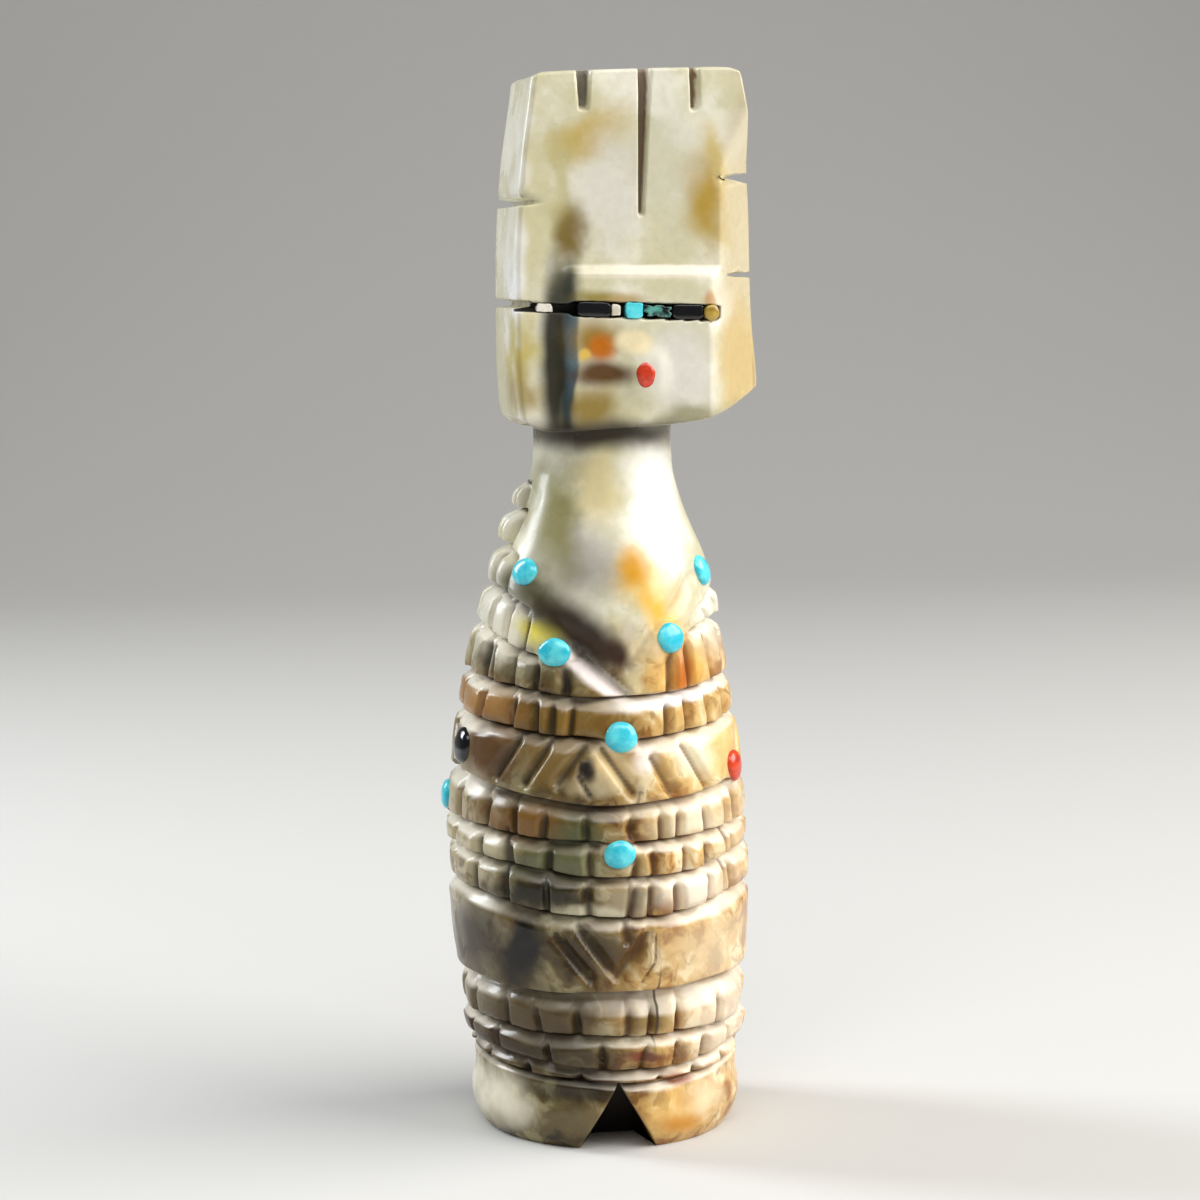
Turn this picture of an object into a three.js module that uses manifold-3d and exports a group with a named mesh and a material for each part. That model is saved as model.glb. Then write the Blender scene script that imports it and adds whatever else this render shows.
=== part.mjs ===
// A small standing maiden carved from one piece of banded stone, with inlaid dots of
// turquoise, coral, jet and shell. Millimetres, +Z up, the figure's front faces -Y and
// the origin is the middle of the flat underside.

import * as THREE from "three";
import { mergeVertices } from "three/addons/utils/BufferGeometryUtils.js";
import Module from "manifold-3d";

const wasm = await Module();
wasm.setup();

// Driving sizes of the stone. Free forms are shares of these.
const bodyHeight = 51.4;
const bodyRadius = 11.05;
const headHeight = 25;
const headWidth = 17.8;
const headDepth = 9.4;
const headFront = 5;
const headMiddle = 1.9;
const headBevel = 0.5;
const neckInHead = 1.2;

// The raised flat face on the head block
const faceRelief = 0.8;
const faceSlope = 1.3;
const mouthMoundRadius = 1.7;
const mouthMoundHeight = 0.3;

// Cuts that ring the body and part one row of kernels from the next
const ringDepth = 0.75;
const ringUnderside = 0.18;
const ringLedge = 0.75;
const napeStep = 0.75;

// Upright cuts that part the kernels of a row, and the slanted cuts of the two bands
const kernelCutWidth = 0.75;
const kernelCutDepth = 0.62;
const slantCutWidth = 1.15;
const slantCutDepth = 0.5;
const neckCutWidth = 0.8;
const neckCutDepth = 0.32;
const panelCutDepth = 0.75;

// Saw cuts in the head block
const crownCutWidth = 0.85;
const crownCutDepth = 1.1;
const sideCutHeight = 0.5;
const sideCutDepth = 1.1;
const chamferInset = 3.1;
const eyeCutHeight = 1.05;
const eyeCutFloor = 0.5;
const eyeCutSlope = -0.03;

// The notch between the two lobes of the foot
const notchWidth = 5.6;
const notchHeight = 4.9;
const notchDepth = 5;

// Inlays and the glue line round each of them
const glueLine = 0.06;
const dotRadius = 1.1;
const dotDepth = 0.9;
const dotDome = 0.42;
const jetDotRadius = 1.2;
const shellDotRadius = 0.56;
const mouthRadius = 0.75;
const mouthTall = 1.28;
const mouthDepth = 0.7;
const barProud = 0.12;

const kernelCount = 18;
const dotSides = 10;
const degree = Math.PI / 180;

// Smooth line through [share, value] points: a cubic between each two, with the slope at
// a point taken from its two neighbours.
function along(line, at) {
  let i = 0;
  while (i < line.length - 2 && at > line[i + 1][0]) i += 1;
  const slope = (k) => {
    const a = line[Math.max(k - 1, 0)];
    const b = line[Math.min(k + 1, line.length - 1)];
    return (b[1] - a[1]) / (b[0] - a[0]);
  };
  const [x0, y0] = line[i];
  const [x1, y1] = line[i + 1];
  const span = x1 - x0;
  const t = THREE.MathUtils.clamp((at - x0) / span, 0, 1);
  const rest = 1 - t;
  return y0 * (1 + 2 * t) * rest * rest + y1 * t * t * (3 - 2 * t)
    + span * t * rest * (slope(i) * rest - slope(i + 1) * t);
}

// The blank: radius as a share of bodyRadius against height as a share of bodyHeight
const bodyLine = [
  [0, 0.805], [0.016, 0.855], [0.047, 0.891], [0.09, 0.869], [0.156, 0.932], [0.272, 0.977],
  [0.409, 1], [0.525, 0.964], [0.642, 0.882], [0.75, 0.778], [0.817, 0.679], [0.856, 0.593],
  [0.895, 0.516], [0.944, 0.457], [1.03, 0.452],
];

// The carved body wanders a little from an upright line, to +X at the foot
const leanLine = [
  [0, 0.4], [0.12, 0.38], [0.27, 0], [0.5, -0.3], [0.7, -0.3], [0.82, 0], [0.93, 0.15],
  [1.03, 0.15],
];

// Ring cuts, from the foot up, as shares of bodyHeight: height at the front, climb towards
// the sides, tilt from left to right, and the angle from the front where the cut begins
const hemRing = { height: 0.093, climb: 0.018, tilt: 0, from: 0 };
const footRing = { height: 0.113, climb: 0.019, tilt: 0, from: 0 };
const lowRing = { height: 0.162, climb: 0.01, tilt: 0, from: 0 };
const lowBandRing = { height: 0.226, climb: 0.01, tilt: 0.003, from: 0 };
const apronRing = { height: 0.333, climb: 0.026, tilt: 0, from: 0 };
const middleRing = { height: 0.389, climb: 0.023, tilt: 0, from: 0 };
const beltRing = { height: 0.437, climb: 0.015, tilt: 0, from: 0 };
const highBandRing = { height: 0.488, climb: 0.029, tilt: 0, from: 0 };
const breastRing = { height: 0.577, climb: 0.022, tilt: 0, from: 0 };
const chestRing = { height: 0.634, climb: 0.019, tilt: 0, from: 0 };
const shawlRing = { height: 0.692, climb: 0.032, tilt: 0.015, from: 37 };
const shoulderRing = { height: 0.722, climb: 0.057, tilt: 0, from: 46 };
const napeRing = { height: 0.776, climb: 0.055, tilt: 0, from: 61 };
const upperNapeRing = { height: 0.829, climb: 0.051, tilt: 0, from: 66 };
const napeTop = { height: 0.872, climb: 0.047, tilt: 0, from: 67 };

// Height of a ring at an angle from the front: it climbs to the sides and stays level behind
function ringHeight(ring, angle) {
  const turned = Math.abs(angle) < 90 * degree;
  const climb = turned ? Math.sin(angle) ** 2 : 1;
  const tilt = turned ? Math.sin(2 * angle) : 0;
  return bodyHeight * (ring.height + ring.climb * climb + ring.tilt * tilt);
}

// From 0 to 1 as the angle from the front passes `from`
function beyond(angle, from) {
  return from === 0 ? 1 : THREE.MathUtils.smoothstep(Math.abs(angle) / degree, from - 4, from + 4);
}

// The kernels at the nape stand proud of the smooth neck
function napeRise(angle, height) {
  const share = height / bodyHeight;
  const low = THREE.MathUtils.smoothstep(share, 0.78, 0.88);
  const top = ringHeight(napeTop, angle);
  return height > top ? 0 : napeStep * low * beyond(angle, napeTop.from);
}

// A point on the blank at an angle from the front, moved outward by `out`
function skin(angle, height, out = 0) {
  const share = height / bodyHeight;
  const radius = bodyRadius * along(bodyLine, share) + napeRise(angle, height) + out;
  return new THREE.Vector3(
    radius * Math.sin(angle) + along(leanLine, share),
    -radius * Math.cos(angle),
    height,
  );
}

// Solids in and out of the boolean library

function solidOf(geometry) {
  const bare = geometry.clone();
  bare.deleteAttribute("normal");
  bare.deleteAttribute("uv");
  const merged = mergeVertices(bare, 1e-4);
  return new wasm.Manifold(new wasm.Mesh({
    numProp: 3,
    vertProperties: new Float32Array(merged.attributes.position.array),
    triVerts: new Uint32Array(merged.index.array),
  }));
}

function geometryOf(solid) {
  const mesh = solid.getMesh();
  const geometry = new THREE.BufferGeometry();
  geometry.setAttribute("position", new THREE.BufferAttribute(new Float32Array(mesh.vertProperties), 3));
  geometry.setIndex(new THREE.BufferAttribute(new Uint32Array(mesh.triVerts), 1));
  const loose = geometry.toNonIndexed();
  loose.computeVertexNormals();
  return loose;
}

// A closed skin over a stack of outlines with equal numbers of points. Fans close both ends,
// and the faces are turned outward by the sign of the enclosed volume.
function loft(outlines) {
  const count = outlines[0].length;
  const points = outlines.flat();
  const faces = [];
  for (let row = 0; row < outlines.length - 1; row += 1) {
    for (let i = 0; i < count; i += 1) {
      const a = row * count + i;
      const b = row * count + (i + 1) % count;
      faces.push([a, b, b + count], [a, b + count, a + count]);
    }
  }
  for (const [first, flip] of [[0, true], [(outlines.length - 1) * count, false]]) {
    const middle = points.length;
    const centre = new THREE.Vector3();
    for (let i = 0; i < count; i += 1) centre.add(points[first + i]);
    points.push(centre.divideScalar(count));
    for (let i = 0; i < count; i += 1) {
      const a = first + i;
      const b = first + (i + 1) % count;
      faces.push(flip ? [b, a, middle] : [a, b, middle]);
    }
  }
  let volume = 0;
  for (const [a, b, c] of faces) {
    volume += points[a].dot(new THREE.Vector3().crossVectors(points[b], points[c]));
  }
  const index = faces.map(([a, b, c]) => (volume < 0 ? [a, c, b] : [a, b, c])).flat();
  const geometry = new THREE.BufferGeometry();
  const flat = points.flatMap((point) => [point.x, point.y, point.z]);
  geometry.setAttribute("position", new THREE.Float32BufferAttribute(flat, 3));
  geometry.setIndex(index);
  return solidOf(geometry);
}

// The rows between the rings, from the hem up. `turn` is where one upright cut stands, in
// degrees from the front, and `squeeze` crowds the kernels towards the front. Kernels are
// left out from `left` to `right`, where the front stays smooth.
const rows = [
  { low: hemRing, high: footRing, turn: -4, squeeze: 0, kernels: 0, left: 0, right: 0 },
  { low: footRing, high: lowRing, turn: -4, squeeze: 0, kernels: 1, left: 0, right: 0 },
  { low: lowRing, high: lowBandRing, turn: -1, squeeze: 0, kernels: 1, left: 0, right: 0 },
  { low: lowBandRing, high: apronRing, turn: 0, squeeze: 0.08, kernels: 0, left: 0, right: 0 },
  { low: apronRing, high: middleRing, turn: 1, squeeze: 0.2, kernels: 1, left: 0, right: 0 },
  { low: middleRing, high: beltRing, turn: 4, squeeze: 0.22, kernels: 1, left: 0, right: 0 },
  { low: beltRing, high: highBandRing, turn: 0, squeeze: 0.22, kernels: 1, left: 0, right: 0 },
  { low: highBandRing, high: breastRing, turn: -4, squeeze: 0.22, kernels: 0, left: 0, right: 0 },
  { low: breastRing, high: chestRing, turn: -7, squeeze: 0.22, kernels: 1, left: 12, right: 12 },
  { low: chestRing, high: shawlRing, turn: -6, squeeze: 0.22, kernels: 1, left: 26, right: 31 },
  { low: shawlRing, high: shoulderRing, turn: -3, squeeze: 0.12, kernels: 1, left: 42, right: 76 },
  { low: shoulderRing, high: napeRing, turn: 0, squeeze: 0.08, kernels: 1, left: 62, right: 62 },
  { low: napeRing, high: upperNapeRing, turn: 4, squeeze: 0, kernels: 1, left: 67, right: 67 },
  { low: upperNapeRing, high: napeTop, turn: 8, squeeze: 0, kernels: 1, left: 68, right: 68 },
];

// Levels of the carved body: a height, how deep the ring cut runs there and how deep the
// upright cuts run. Each row has three, and plain ones close the foot and the neck.
function bodyLevels() {
  const plain = (height, climb, row, cut = 0) => (
    { ring: { height, climb, tilt: 0, from: 0 }, shift: 0, cut, row, depth: 0 }
  );
  const levels = [
    plain(0, 0, rows[0]), plain(0.016, 0, rows[0]), plain(0.045, 0.006, rows[0]),
    plain(0.064, 0.014, rows[0]), plain(0.076, 0.016, rows[0], 0.5 * ringDepth),
  ];
  for (const row of rows) {
    const hem = row.low === hemRing;
    const ledge = hem ? ringLedge * 0.4 : ringLedge;
    const depth = row.kernels * kernelCutDepth;
    levels.push({ ring: row.low, shift: 0, cut: ringDepth * (hem ? 0.65 : 1), row, depth: 0 });
    levels.push({ ring: row.low, shift: ringUnderside, cut: 0, row, depth });
    levels.push({ ring: row.high, shift: -ledge, cut: 0, row, depth: depth * 0.5 });
  }
  const last = rows[rows.length - 1];
  levels.push({ ring: napeTop, shift: -0.02, cut: 0.4 * ringDepth, row: last, depth: 0 });
  levels.push({ ring: napeTop, shift: 0.15, cut: 0, row: last, depth: 0 });
  levels.push(plain(0.905, 0.03, last));
  levels.push(plain(0.955, 0, last));
  levels.push(plain(1 + neckInHead / bodyHeight, 0, last));
  return levels;
}

// Three columns to a kernel: the bottom of the cut and its two lips
function bodyOutline({ ring, shift, cut, row, depth }) {
  const outline = [];
  const pitch = (2 * Math.PI) / kernelCount;
  const half = kernelCutWidth / 2 / bodyRadius;
  for (let i = 0; i < kernelCount; i += 1) {
    const middle = row.turn * degree + (i - kernelCount / 2) * pitch;
    for (const [offset, bottom] of [[0, true], [half, false], [pitch - half, false]]) {
      const t = middle + offset;
      const angle = t - row.squeeze * Math.sin(t);
      const clear = angle < 0 ? row.left : row.right;
      const height = ringHeight(ring, angle) + shift;
      const carved = cut * beyond(angle, ring.from) + (bottom ? depth * beyond(angle, clear) : 0);
      outline.push(skin(angle, height, -carved));
    }
  }
  return outline;
}

function bodySolid() {
  return loft(bodyLevels().map(bodyOutline));
}

// A V cut along a straight run over the skin, from one [angle, height] to another. Its mouth
// opens as wide as `width` where it meets the skin.
function vCut(from, to, width, depth) {
  const clear = 0.8;
  const mouth = ((depth + clear) * width) / 2 / depth;
  const run = skin(...to).sub(skin(...from)).normalize();
  return loft([from, to].map(([angle, height]) => {
    const out = new THREE.Vector3(Math.sin(angle), -Math.cos(angle), 0);
    const across = new THREE.Vector3().crossVectors(out, run).normalize();
    const surface = skin(angle, height);
    return [
      surface.clone().addScaledVector(out, -depth),
      surface.clone().addScaledVector(out, clear).addScaledVector(across, mouth),
      surface.clone().addScaledVector(out, clear).addScaledVector(across, -mouth),
    ];
  }));
}

// Slanted cuts of a band: each is a pair of [degrees, share of the band's height]. The same
// group is repeated round the body.
const highBandCuts = [
  [[-42, 0.97], [-55, 0.25]], [[-28, 0.97], [-41.5, 0.2]], [[-14.5, 0.92], [-27, 0.2]],
  [[-9.5, 0.9], [4.5, 0.1]], [[10.5, 0.75], [20, 0.08]], [[25, 0.95], [37.5, 0.1]],
];
const lowBandCuts = [
  [[-29.5, 0.84], [-14, 0.14]], [[-20.4, 0.98], [-5.5, 0.24]],
  [[8.5, 0.88], [-6, 0.16]], [[-1.5, 0.98], [0, 0.66]],
];

function bandCuts(pattern, low, high, repeats) {
  const cuts = [];
  for (let i = 0; i < repeats; i += 1) {
    for (const ends of pattern) {
      const [from, to] = ends.map(([turn, share]) => {
        const angle = (turn + (i * 360) / repeats) * degree;
        const wrapped = angle > Math.PI ? angle - 2 * Math.PI : angle;
        const foot = ringHeight(low, wrapped) + ringUnderside;
        const top = ringHeight(high, wrapped) - ringLedge * 0.6;
        return [angle, THREE.MathUtils.lerp(foot, top, share)];
      });
      cuts.push(vCut(from, to, slantCutWidth, slantCutDepth));
    }
  }
  return cuts;
}

// The neckline: a V from both shoulders, the lower edge of the shawl across it, and the two
// upright cuts at the sides of the apron
function necklineCuts() {
  const runs = [
    [[-52, 0.795], [-40, 0.778]], [[-40, 0.778], [-11.5, 0.714]], [[-11.5, 0.714], [2, 0.667]],
    [[51, 0.8], [40, 0.79]], [[40, 0.79], [14.6, 0.724]], [[14.6, 0.724], [2, 0.667]],
    [[-25, 0.678], [-2, 0.622]],
    [[-64, 0.81], [-67, 0.86]], [[-67, 0.86], [-69, 0.915]],
    [[64, 0.81], [67, 0.86]], [[67, 0.86], [69, 0.915]],
  ];
  const cuts = runs.map(([from, to]) => vCut(
    [from[0] * degree, from[1] * bodyHeight],
    [to[0] * degree, to[1] * bodyHeight],
    neckCutWidth,
    neckCutDepth,
  ));
  for (const turn of [-48, 47]) {
    const angle = turn * degree;
    const low = ringHeight(apronRing, angle) + ringUnderside;
    const high = ringHeight(highBandRing, angle) - ringLedge;
    cuts.push(vCut([angle, low], [angle, high], kernelCutWidth, panelCutDepth));
  }
  return cuts;
}

// The head block, drawn from the front: across as a share of its width from its middle, up as
// a share of its height
const headOutline = [
  [-0.43, 0.982], [0.371, 1], [0.404, 0.985], [0.449, 0.824], [0.475, 0.624], [0.489, 0.384],
  [0.522, 0.136], [0.52, 0.1], [0.326, 0.04], [0.163, 0.016], [-0.404, -0.008],
  [-0.469, 0.008], [-0.497, 0.164], [-0.5, 0.364], [-0.497, 0.524], [-0.478, 0.724], [-0.441, 0.928],
];

const headX = (share) => headMiddle + share * headWidth;
const headZ = (share) => bodyHeight + share * headHeight;
const headBack = headDepth - headFront;
const faceFront = -headFront - faceRelief;

function headBlock() {
  const shape = new THREE.Shape(headOutline.map(([x, z]) => new THREE.Vector2(headX(x), headZ(z))));
  const geometry = new THREE.ExtrudeGeometry(shape, {
    depth: headDepth - 2 * headBevel,
    bevelEnabled: true,
    bevelThickness: headBevel,
    bevelSize: headBevel,
    bevelOffset: -headBevel,
    bevelSegments: 2,
  });
  geometry.rotateX(Math.PI / 2);
  geometry.translate(0, headBack - headBevel, 0);
  return solidOf(geometry);
}

// An outline in the XZ plane at one depth
const uprightOutline = (points, y) => points.map(([x, z]) => new THREE.Vector3(x, y, z));

// The flat face, raised from the block with a sloped top and left side
function facePlate() {
  const left = headX(-0.265);
  const right = headX(0.46);
  const top = headZ(0.434);
  const topEdge = headZ(0.456);
  const foot = headZ(-0.004);
  const footRight = headZ(0.07);
  const depthIn = -headFront + 1;
  const outer = left - faceSlope;
  const flat = [[left, foot], [right, footRight], [right, top], [left, top]];
  const wide = [[outer, foot], [right, footRight], [right, topEdge], [outer, topEdge]];
  return loft([
    uprightOutline(wide, depthIn),
    uprightOutline(wide, -headFront),
    uprightOutline(flat, faceFront),
  ]);
}

// A turned blank on +Z from [radius, height] points that start and end on the axis
function turned(points, sides) {
  const geometry = new THREE.LatheGeometry(points.map(([r, z]) => new THREE.Vector2(r, z)), sides);
  geometry.rotateX(Math.PI / 2);
  return geometry;
}

// Puts a blank that stands on +Z onto a seat: its origin at the seat, its +Z along `out`
function seat(geometry, point, out) {
  const turn = new THREE.Quaternion().setFromUnitVectors(new THREE.Vector3(0, 0, 1), out);
  geometry.applyQuaternion(turn);
  geometry.translate(point.x, point.y, point.z);
  return geometry;
}

const forward = new THREE.Vector3(0, -1, 0);

// The low round mound that the mouth is set in
const mouthAt = new THREE.Vector3(headX(0.009), faceFront, headZ(0.146));

function mouthMound() {
  const blank = turned([
    [0, -0.5], [mouthMoundRadius, -0.5], [mouthMoundRadius, 0.02],
    [mouthMoundRadius * 0.6, mouthMoundHeight * 0.8], [0, mouthMoundHeight],
  ], dotSides);
  return solidOf(seat(blank, mouthAt, forward));
}

// The slanted facet down the right front edge, fading out towards the top
function chamferCut() {
  const edge = headX(0.5) - chamferInset;
  const reach = 6;
  const levels = [[headZ(-0.1), 0], [headZ(0.7), 0], [headZ(0.95), 2.4]];
  return loft(levels.map(([z, shift]) => [
    new THREE.Vector3(edge + shift - 1.5, -headFront - 1.5, z),
    new THREE.Vector3(edge + shift + reach, -headFront + reach, z),
    new THREE.Vector3(edge + shift + reach, -headFront - 1.5, z),
  ]));
}

// Grooves sawn down the front of the crown: across, lower end, width at the top and at the foot
function crownCuts() {
  const cuts = [[-0.228, 0.885, 1, 1], [0.009, 0.594, 0.75, 0.45], [0.217, 0.887, 0.8, 0.8]];
  const over = headZ(1.04);
  return cuts.map(([across, foot, wide, narrow]) => {
    const x = headX(across);
    const low = headZ(foot);
    const groove = (half, depth, z) => [
      new THREE.Vector3(x - half, -headFront - 1, z),
      new THREE.Vector3(x + half, -headFront - 1, z),
      new THREE.Vector3(x + half * 0.8, -headFront + depth, z),
      new THREE.Vector3(x - half * 0.8, -headFront + depth, z),
    ];
    const half = crownCutWidth / 2;
    return loft([
      groove(half * narrow, crownCutDepth * 0.35, low),
      groove(half * wide, crownCutDepth, over),
    ]);
  });
}

// V cuts sawn straight through the two side edges, front to back, each with a shallow run on
// over the front
function sideCuts() {
  const cuts = [
    { side: -1, up: 0.63, deep: 1 }, { side: -1, up: 0.342, deep: 1.05 },
    { side: 1, up: 0.7, deep: 2.2 }, { side: 1, up: 0.426, deep: 2 },
  ];
  return cuts.map(({ side, up, deep }) => {
    const edge = headX(side * 0.49);
    const z = headZ(up);
    const inner = edge - side * sideCutDepth * deep;
    const outer = edge + side * 1.5;
    const slice = (y) => [
      new THREE.Vector3(inner, y, z - sideCutHeight * 0.2),
      new THREE.Vector3(edge, y, z - sideCutHeight * 0.4),
      new THREE.Vector3(outer, y, z - sideCutHeight * 1.3),
      new THREE.Vector3(outer, y, z + sideCutHeight * 1.3),
      new THREE.Vector3(edge, y, z + sideCutHeight * 0.4),
      new THREE.Vector3(inner, y, z + sideCutHeight * 0.2),
    ];
    return loft([slice(-headFront - 2), slice(headBack + 2)]);
  });
}

// The saw cut across the face that holds the eye inlays. Its middle line falls to the right.
const eyeUp = (x) => headZ(0.326) + eyeCutSlope * (x - headMiddle);
const eyeFloor = -headFront + eyeCutFloor;

function eyeCut() {
  const left = headX(-0.52);
  const right = headX(0.42);
  const half = eyeCutHeight / 2;
  const outline = [
    [left, eyeUp(left) - half], [right, eyeUp(right) - half],
    [right, eyeUp(right) + half], [left, eyeUp(left) + half],
  ];
  return loft([uprightOutline(outline, faceFront - 1), uprightOutline(outline, eyeFloor)]);
}

// The notch in the foot, open to the front and closing towards the back
function footNotch() {
  const middle = -0.9;
  const front = -bodyRadius - 1;
  const back = -bodyRadius * 0.88 + notchDepth;
  const outline = (scale, y) => [
    new THREE.Vector3(middle - notchWidth * 0.53 * scale, y, -1),
    new THREE.Vector3(middle + notchWidth * 0.58 * scale, y, -1),
    new THREE.Vector3(middle + notchWidth * 0.5 * scale, y, 0),
    new THREE.Vector3(middle - 0.1, y, notchHeight * scale),
    new THREE.Vector3(middle - notchWidth * 0.48 * scale, y, 0),
  ];
  return loft([outline(1.15, front), outline(1, -bodyRadius * 0.88), outline(0.45, back)]);
}

// The back of the neck is dressed flat where it meets the head block
function napeCut() {
  const y = headBack - 0.02;
  const slice = (x) => [
    new THREE.Vector3(x, y, headZ(0.1)),
    new THREE.Vector3(x, y, headZ(-0.05)),
    new THREE.Vector3(x, y + 1.2, headZ(-0.17)),
    new THREE.Vector3(x, y + 4, headZ(-0.17)),
    new THREE.Vector3(x, y + 4, headZ(0.1)),
  ];
  return loft([slice(-bodyRadius), slice(bodyRadius)]);
}

// Inlays. Each entry gives the piece and the socket that is cut for it, one glue line wider.

const colours = {
  turquoise: { color: 0x3cc6dc, roughness: 0.3, metalness: 0 },
  coral: { color: 0xd9482a, roughness: 0.3, metalness: 0 },
  jet: { color: 0x0d0c10, roughness: 0.15, metalness: 0 },
  shell: { color: 0xf0ece0, roughness: 0.3, metalness: 0 },
  goldShell: { color: 0xba9e42, roughness: 0.3, metalness: 0 },
};

function domedPeg(radius, depth, dome) {
  return turned([
    [0, -depth], [radius, -depth], [radius, 0.1 * dome], [radius * 0.7, dome * 0.75], [0, dome],
  ], dotSides);
}

function pegSocket(radius, depth) {
  const clear = 1.5;
  const wide = radius + glueLine;
  const floor = -depth - glueLine;
  return turned([[0, floor], [wide, floor], [wide, clear], [0, clear]], dotSides);
}

function bodyDot(name, colour, radius, turn, share) {
  const angle = turn * degree;
  const height = share * bodyHeight;
  const nearby = 0.01;
  const widening = along(bodyLine, share + nearby) - along(bodyLine, share - nearby);
  const slope = (bodyRadius * widening) / (2 * nearby * bodyHeight);
  const out = new THREE.Vector3(Math.sin(angle), -Math.cos(angle), -slope).normalize();
  const point = skin(angle, height);
  return {
    name,
    colour,
    piece: solidOf(seat(domedPeg(radius, dotDepth, dotDome), point, out)),
    socket: solidOf(seat(pegSocket(radius, dotDepth), point, out)),
  };
}

function faceDot(name, colour, radius, tall, depth, point) {
  const piece = domedPeg(radius, depth, dotDome * 0.5).scale(1, tall, 1);
  const socket = pegSocket(radius, depth).scale(1, tall, 1);
  return {
    name,
    colour,
    piece: solidOf(seat(piece, point, forward)),
    socket: solidOf(seat(socket, point, forward)),
  };
}

// A flat piece in the eye cut, between two places across the head
function eyeBar(name, colour, from, to, front) {
  const half = eyeCutHeight / 2 - glueLine;
  const x0 = headX(from);
  const x1 = headX(to);
  const slice = (y, inset) => [
    new THREE.Vector3(x0 + inset, y, eyeUp(x0) - half + inset),
    new THREE.Vector3(x1 - inset, y, eyeUp(x1) - half + inset),
    new THREE.Vector3(x1 - inset, y, eyeUp(x1) + half - inset),
    new THREE.Vector3(x0 + inset, y, eyeUp(x0) + half - inset),
  ];
  const top = front - barProud;
  const piece = loft([slice(eyeFloor - glueLine, 0), slice(top + 0.1, 0), slice(top, 0.1)]);
  return { name, colour, piece, socket: null };
}

const mouthSeat = mouthAt.clone().addScaledVector(forward, 0.2);
const shellDotAt = new THREE.Vector3(headX(0.28), faceFront, eyeUp(headX(0.28)));

const inlays = [
  bodyDot("turquoise_shoulder_left", "turquoise", dotRadius, -54, 0.8),
  bodyDot("turquoise_shoulder_right", "turquoise", dotRadius, 57, 0.797),
  bodyDot("turquoise_chest_left", "turquoise", dotRadius, -29.8, 0.696),
  bodyDot("turquoise_chest_right", "turquoise", dotRadius, 23.8, 0.713),
  bodyDot("turquoise_breast", "turquoise", dotRadius, -1.3, 0.583),
  bodyDot("turquoise_apron", "turquoise", dotRadius, -3.1, 0.424),
  bodyDot("turquoise_side_left", "turquoise", dotRadius, -97, 0.473),
  bodyDot("jet_side_left", "jet", jetDotRadius, -77, 0.554),
  bodyDot("coral_side_right", "coral", dotRadius, 57, 0.524),
  faceDot("coral_mouth", "coral", mouthRadius, mouthTall, mouthDepth, mouthSeat),
  faceDot("shell_ear_right", "goldShell", shellDotRadius, 1, mouthDepth, shellDotAt),
  eyeBar("shell_ear_left", "shell", -0.42, -0.355, -headFront),
  eyeBar("jet_eye_left", "jet", -0.262, -0.13, faceFront),
  eyeBar("shell_bridge", "shell", -0.124, -0.092, faceFront),
  eyeBar("turquoise_nose", "turquoise", -0.066, -0.004, faceFront),
  eyeBar("jet_bridge", "jet", 0.001, 0.116, faceFront),
  eyeBar("jet_eye_right", "jet", 0.121, 0.244, faceFront),
];

// The stone: body and head joined, then every cut and socket taken from it

const joined = (solids) => solids.reduce((whole, solid) => whole.add(solid));

function stoneSolid() {
  const bodyCuts = [
    ...bandCuts(highBandCuts, highBandRing, breastRing, 3),
    ...bandCuts(lowBandCuts, lowBandRing, apronRing, 3),
    ...necklineCuts(),
    napeCut(),
    footNotch(),
  ];
  const headCuts = [chamferCut(), ...crownCuts(), ...sideCuts(), eyeCut()];
  const sockets = inlays.filter(({ socket }) => socket).map(({ socket }) => socket);
  const body = bodySolid().subtract(joined(bodyCuts));
  const head = joined([headBlock(), facePlate(), mouthMound()]).subtract(joined(headCuts));
  return body.add(head).subtract(joined(sockets));
}

function namedMesh(name, solid, look) {
  const mesh = new THREE.Mesh(geometryOf(solid), new THREE.MeshStandardMaterial(look));
  mesh.name = name;
  return mesh;
}

const maiden = new THREE.Group();
maiden.add(namedMesh("carved_stone", stoneSolid(), { color: 0xcdc6b2, roughness: 0.35, metalness: 0 }));
for (const { name, colour, piece } of inlays) {
  maiden.add(namedMesh(name, piece, colours[colour]));
}

export default maiden;
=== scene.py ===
"""A small standing maiden carved from one piece of banded stone, with inlaid dots of
turquoise, coral, jet and shell.

Surfaces are worked out in millimetres and turned into metres when a mesh is made. The figure's
front faces -Y, it stands on Z = 0, and angles round it are measured from the front, positive
towards +X.
"""

import bpy
import numpy as np
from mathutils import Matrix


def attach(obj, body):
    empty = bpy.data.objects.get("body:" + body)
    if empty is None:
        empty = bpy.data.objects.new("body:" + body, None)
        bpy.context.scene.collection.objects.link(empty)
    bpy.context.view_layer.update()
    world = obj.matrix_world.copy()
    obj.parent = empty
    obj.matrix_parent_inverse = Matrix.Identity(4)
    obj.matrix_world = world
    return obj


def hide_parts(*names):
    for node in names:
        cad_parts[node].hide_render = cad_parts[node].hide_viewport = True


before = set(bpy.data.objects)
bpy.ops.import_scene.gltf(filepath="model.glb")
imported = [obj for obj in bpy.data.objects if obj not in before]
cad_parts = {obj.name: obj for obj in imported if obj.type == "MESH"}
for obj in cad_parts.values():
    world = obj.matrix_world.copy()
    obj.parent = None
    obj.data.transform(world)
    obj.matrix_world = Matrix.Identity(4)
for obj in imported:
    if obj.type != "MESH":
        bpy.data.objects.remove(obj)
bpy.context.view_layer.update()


# The stone's body: a barrel with a smooth neck and chest, parted by sawn rings into rows of
# kernels and two bands of slanted cuts. Carved by hand from the same piece as the head, and
# polished over the cuts, so that every edge is a little soft.

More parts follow.
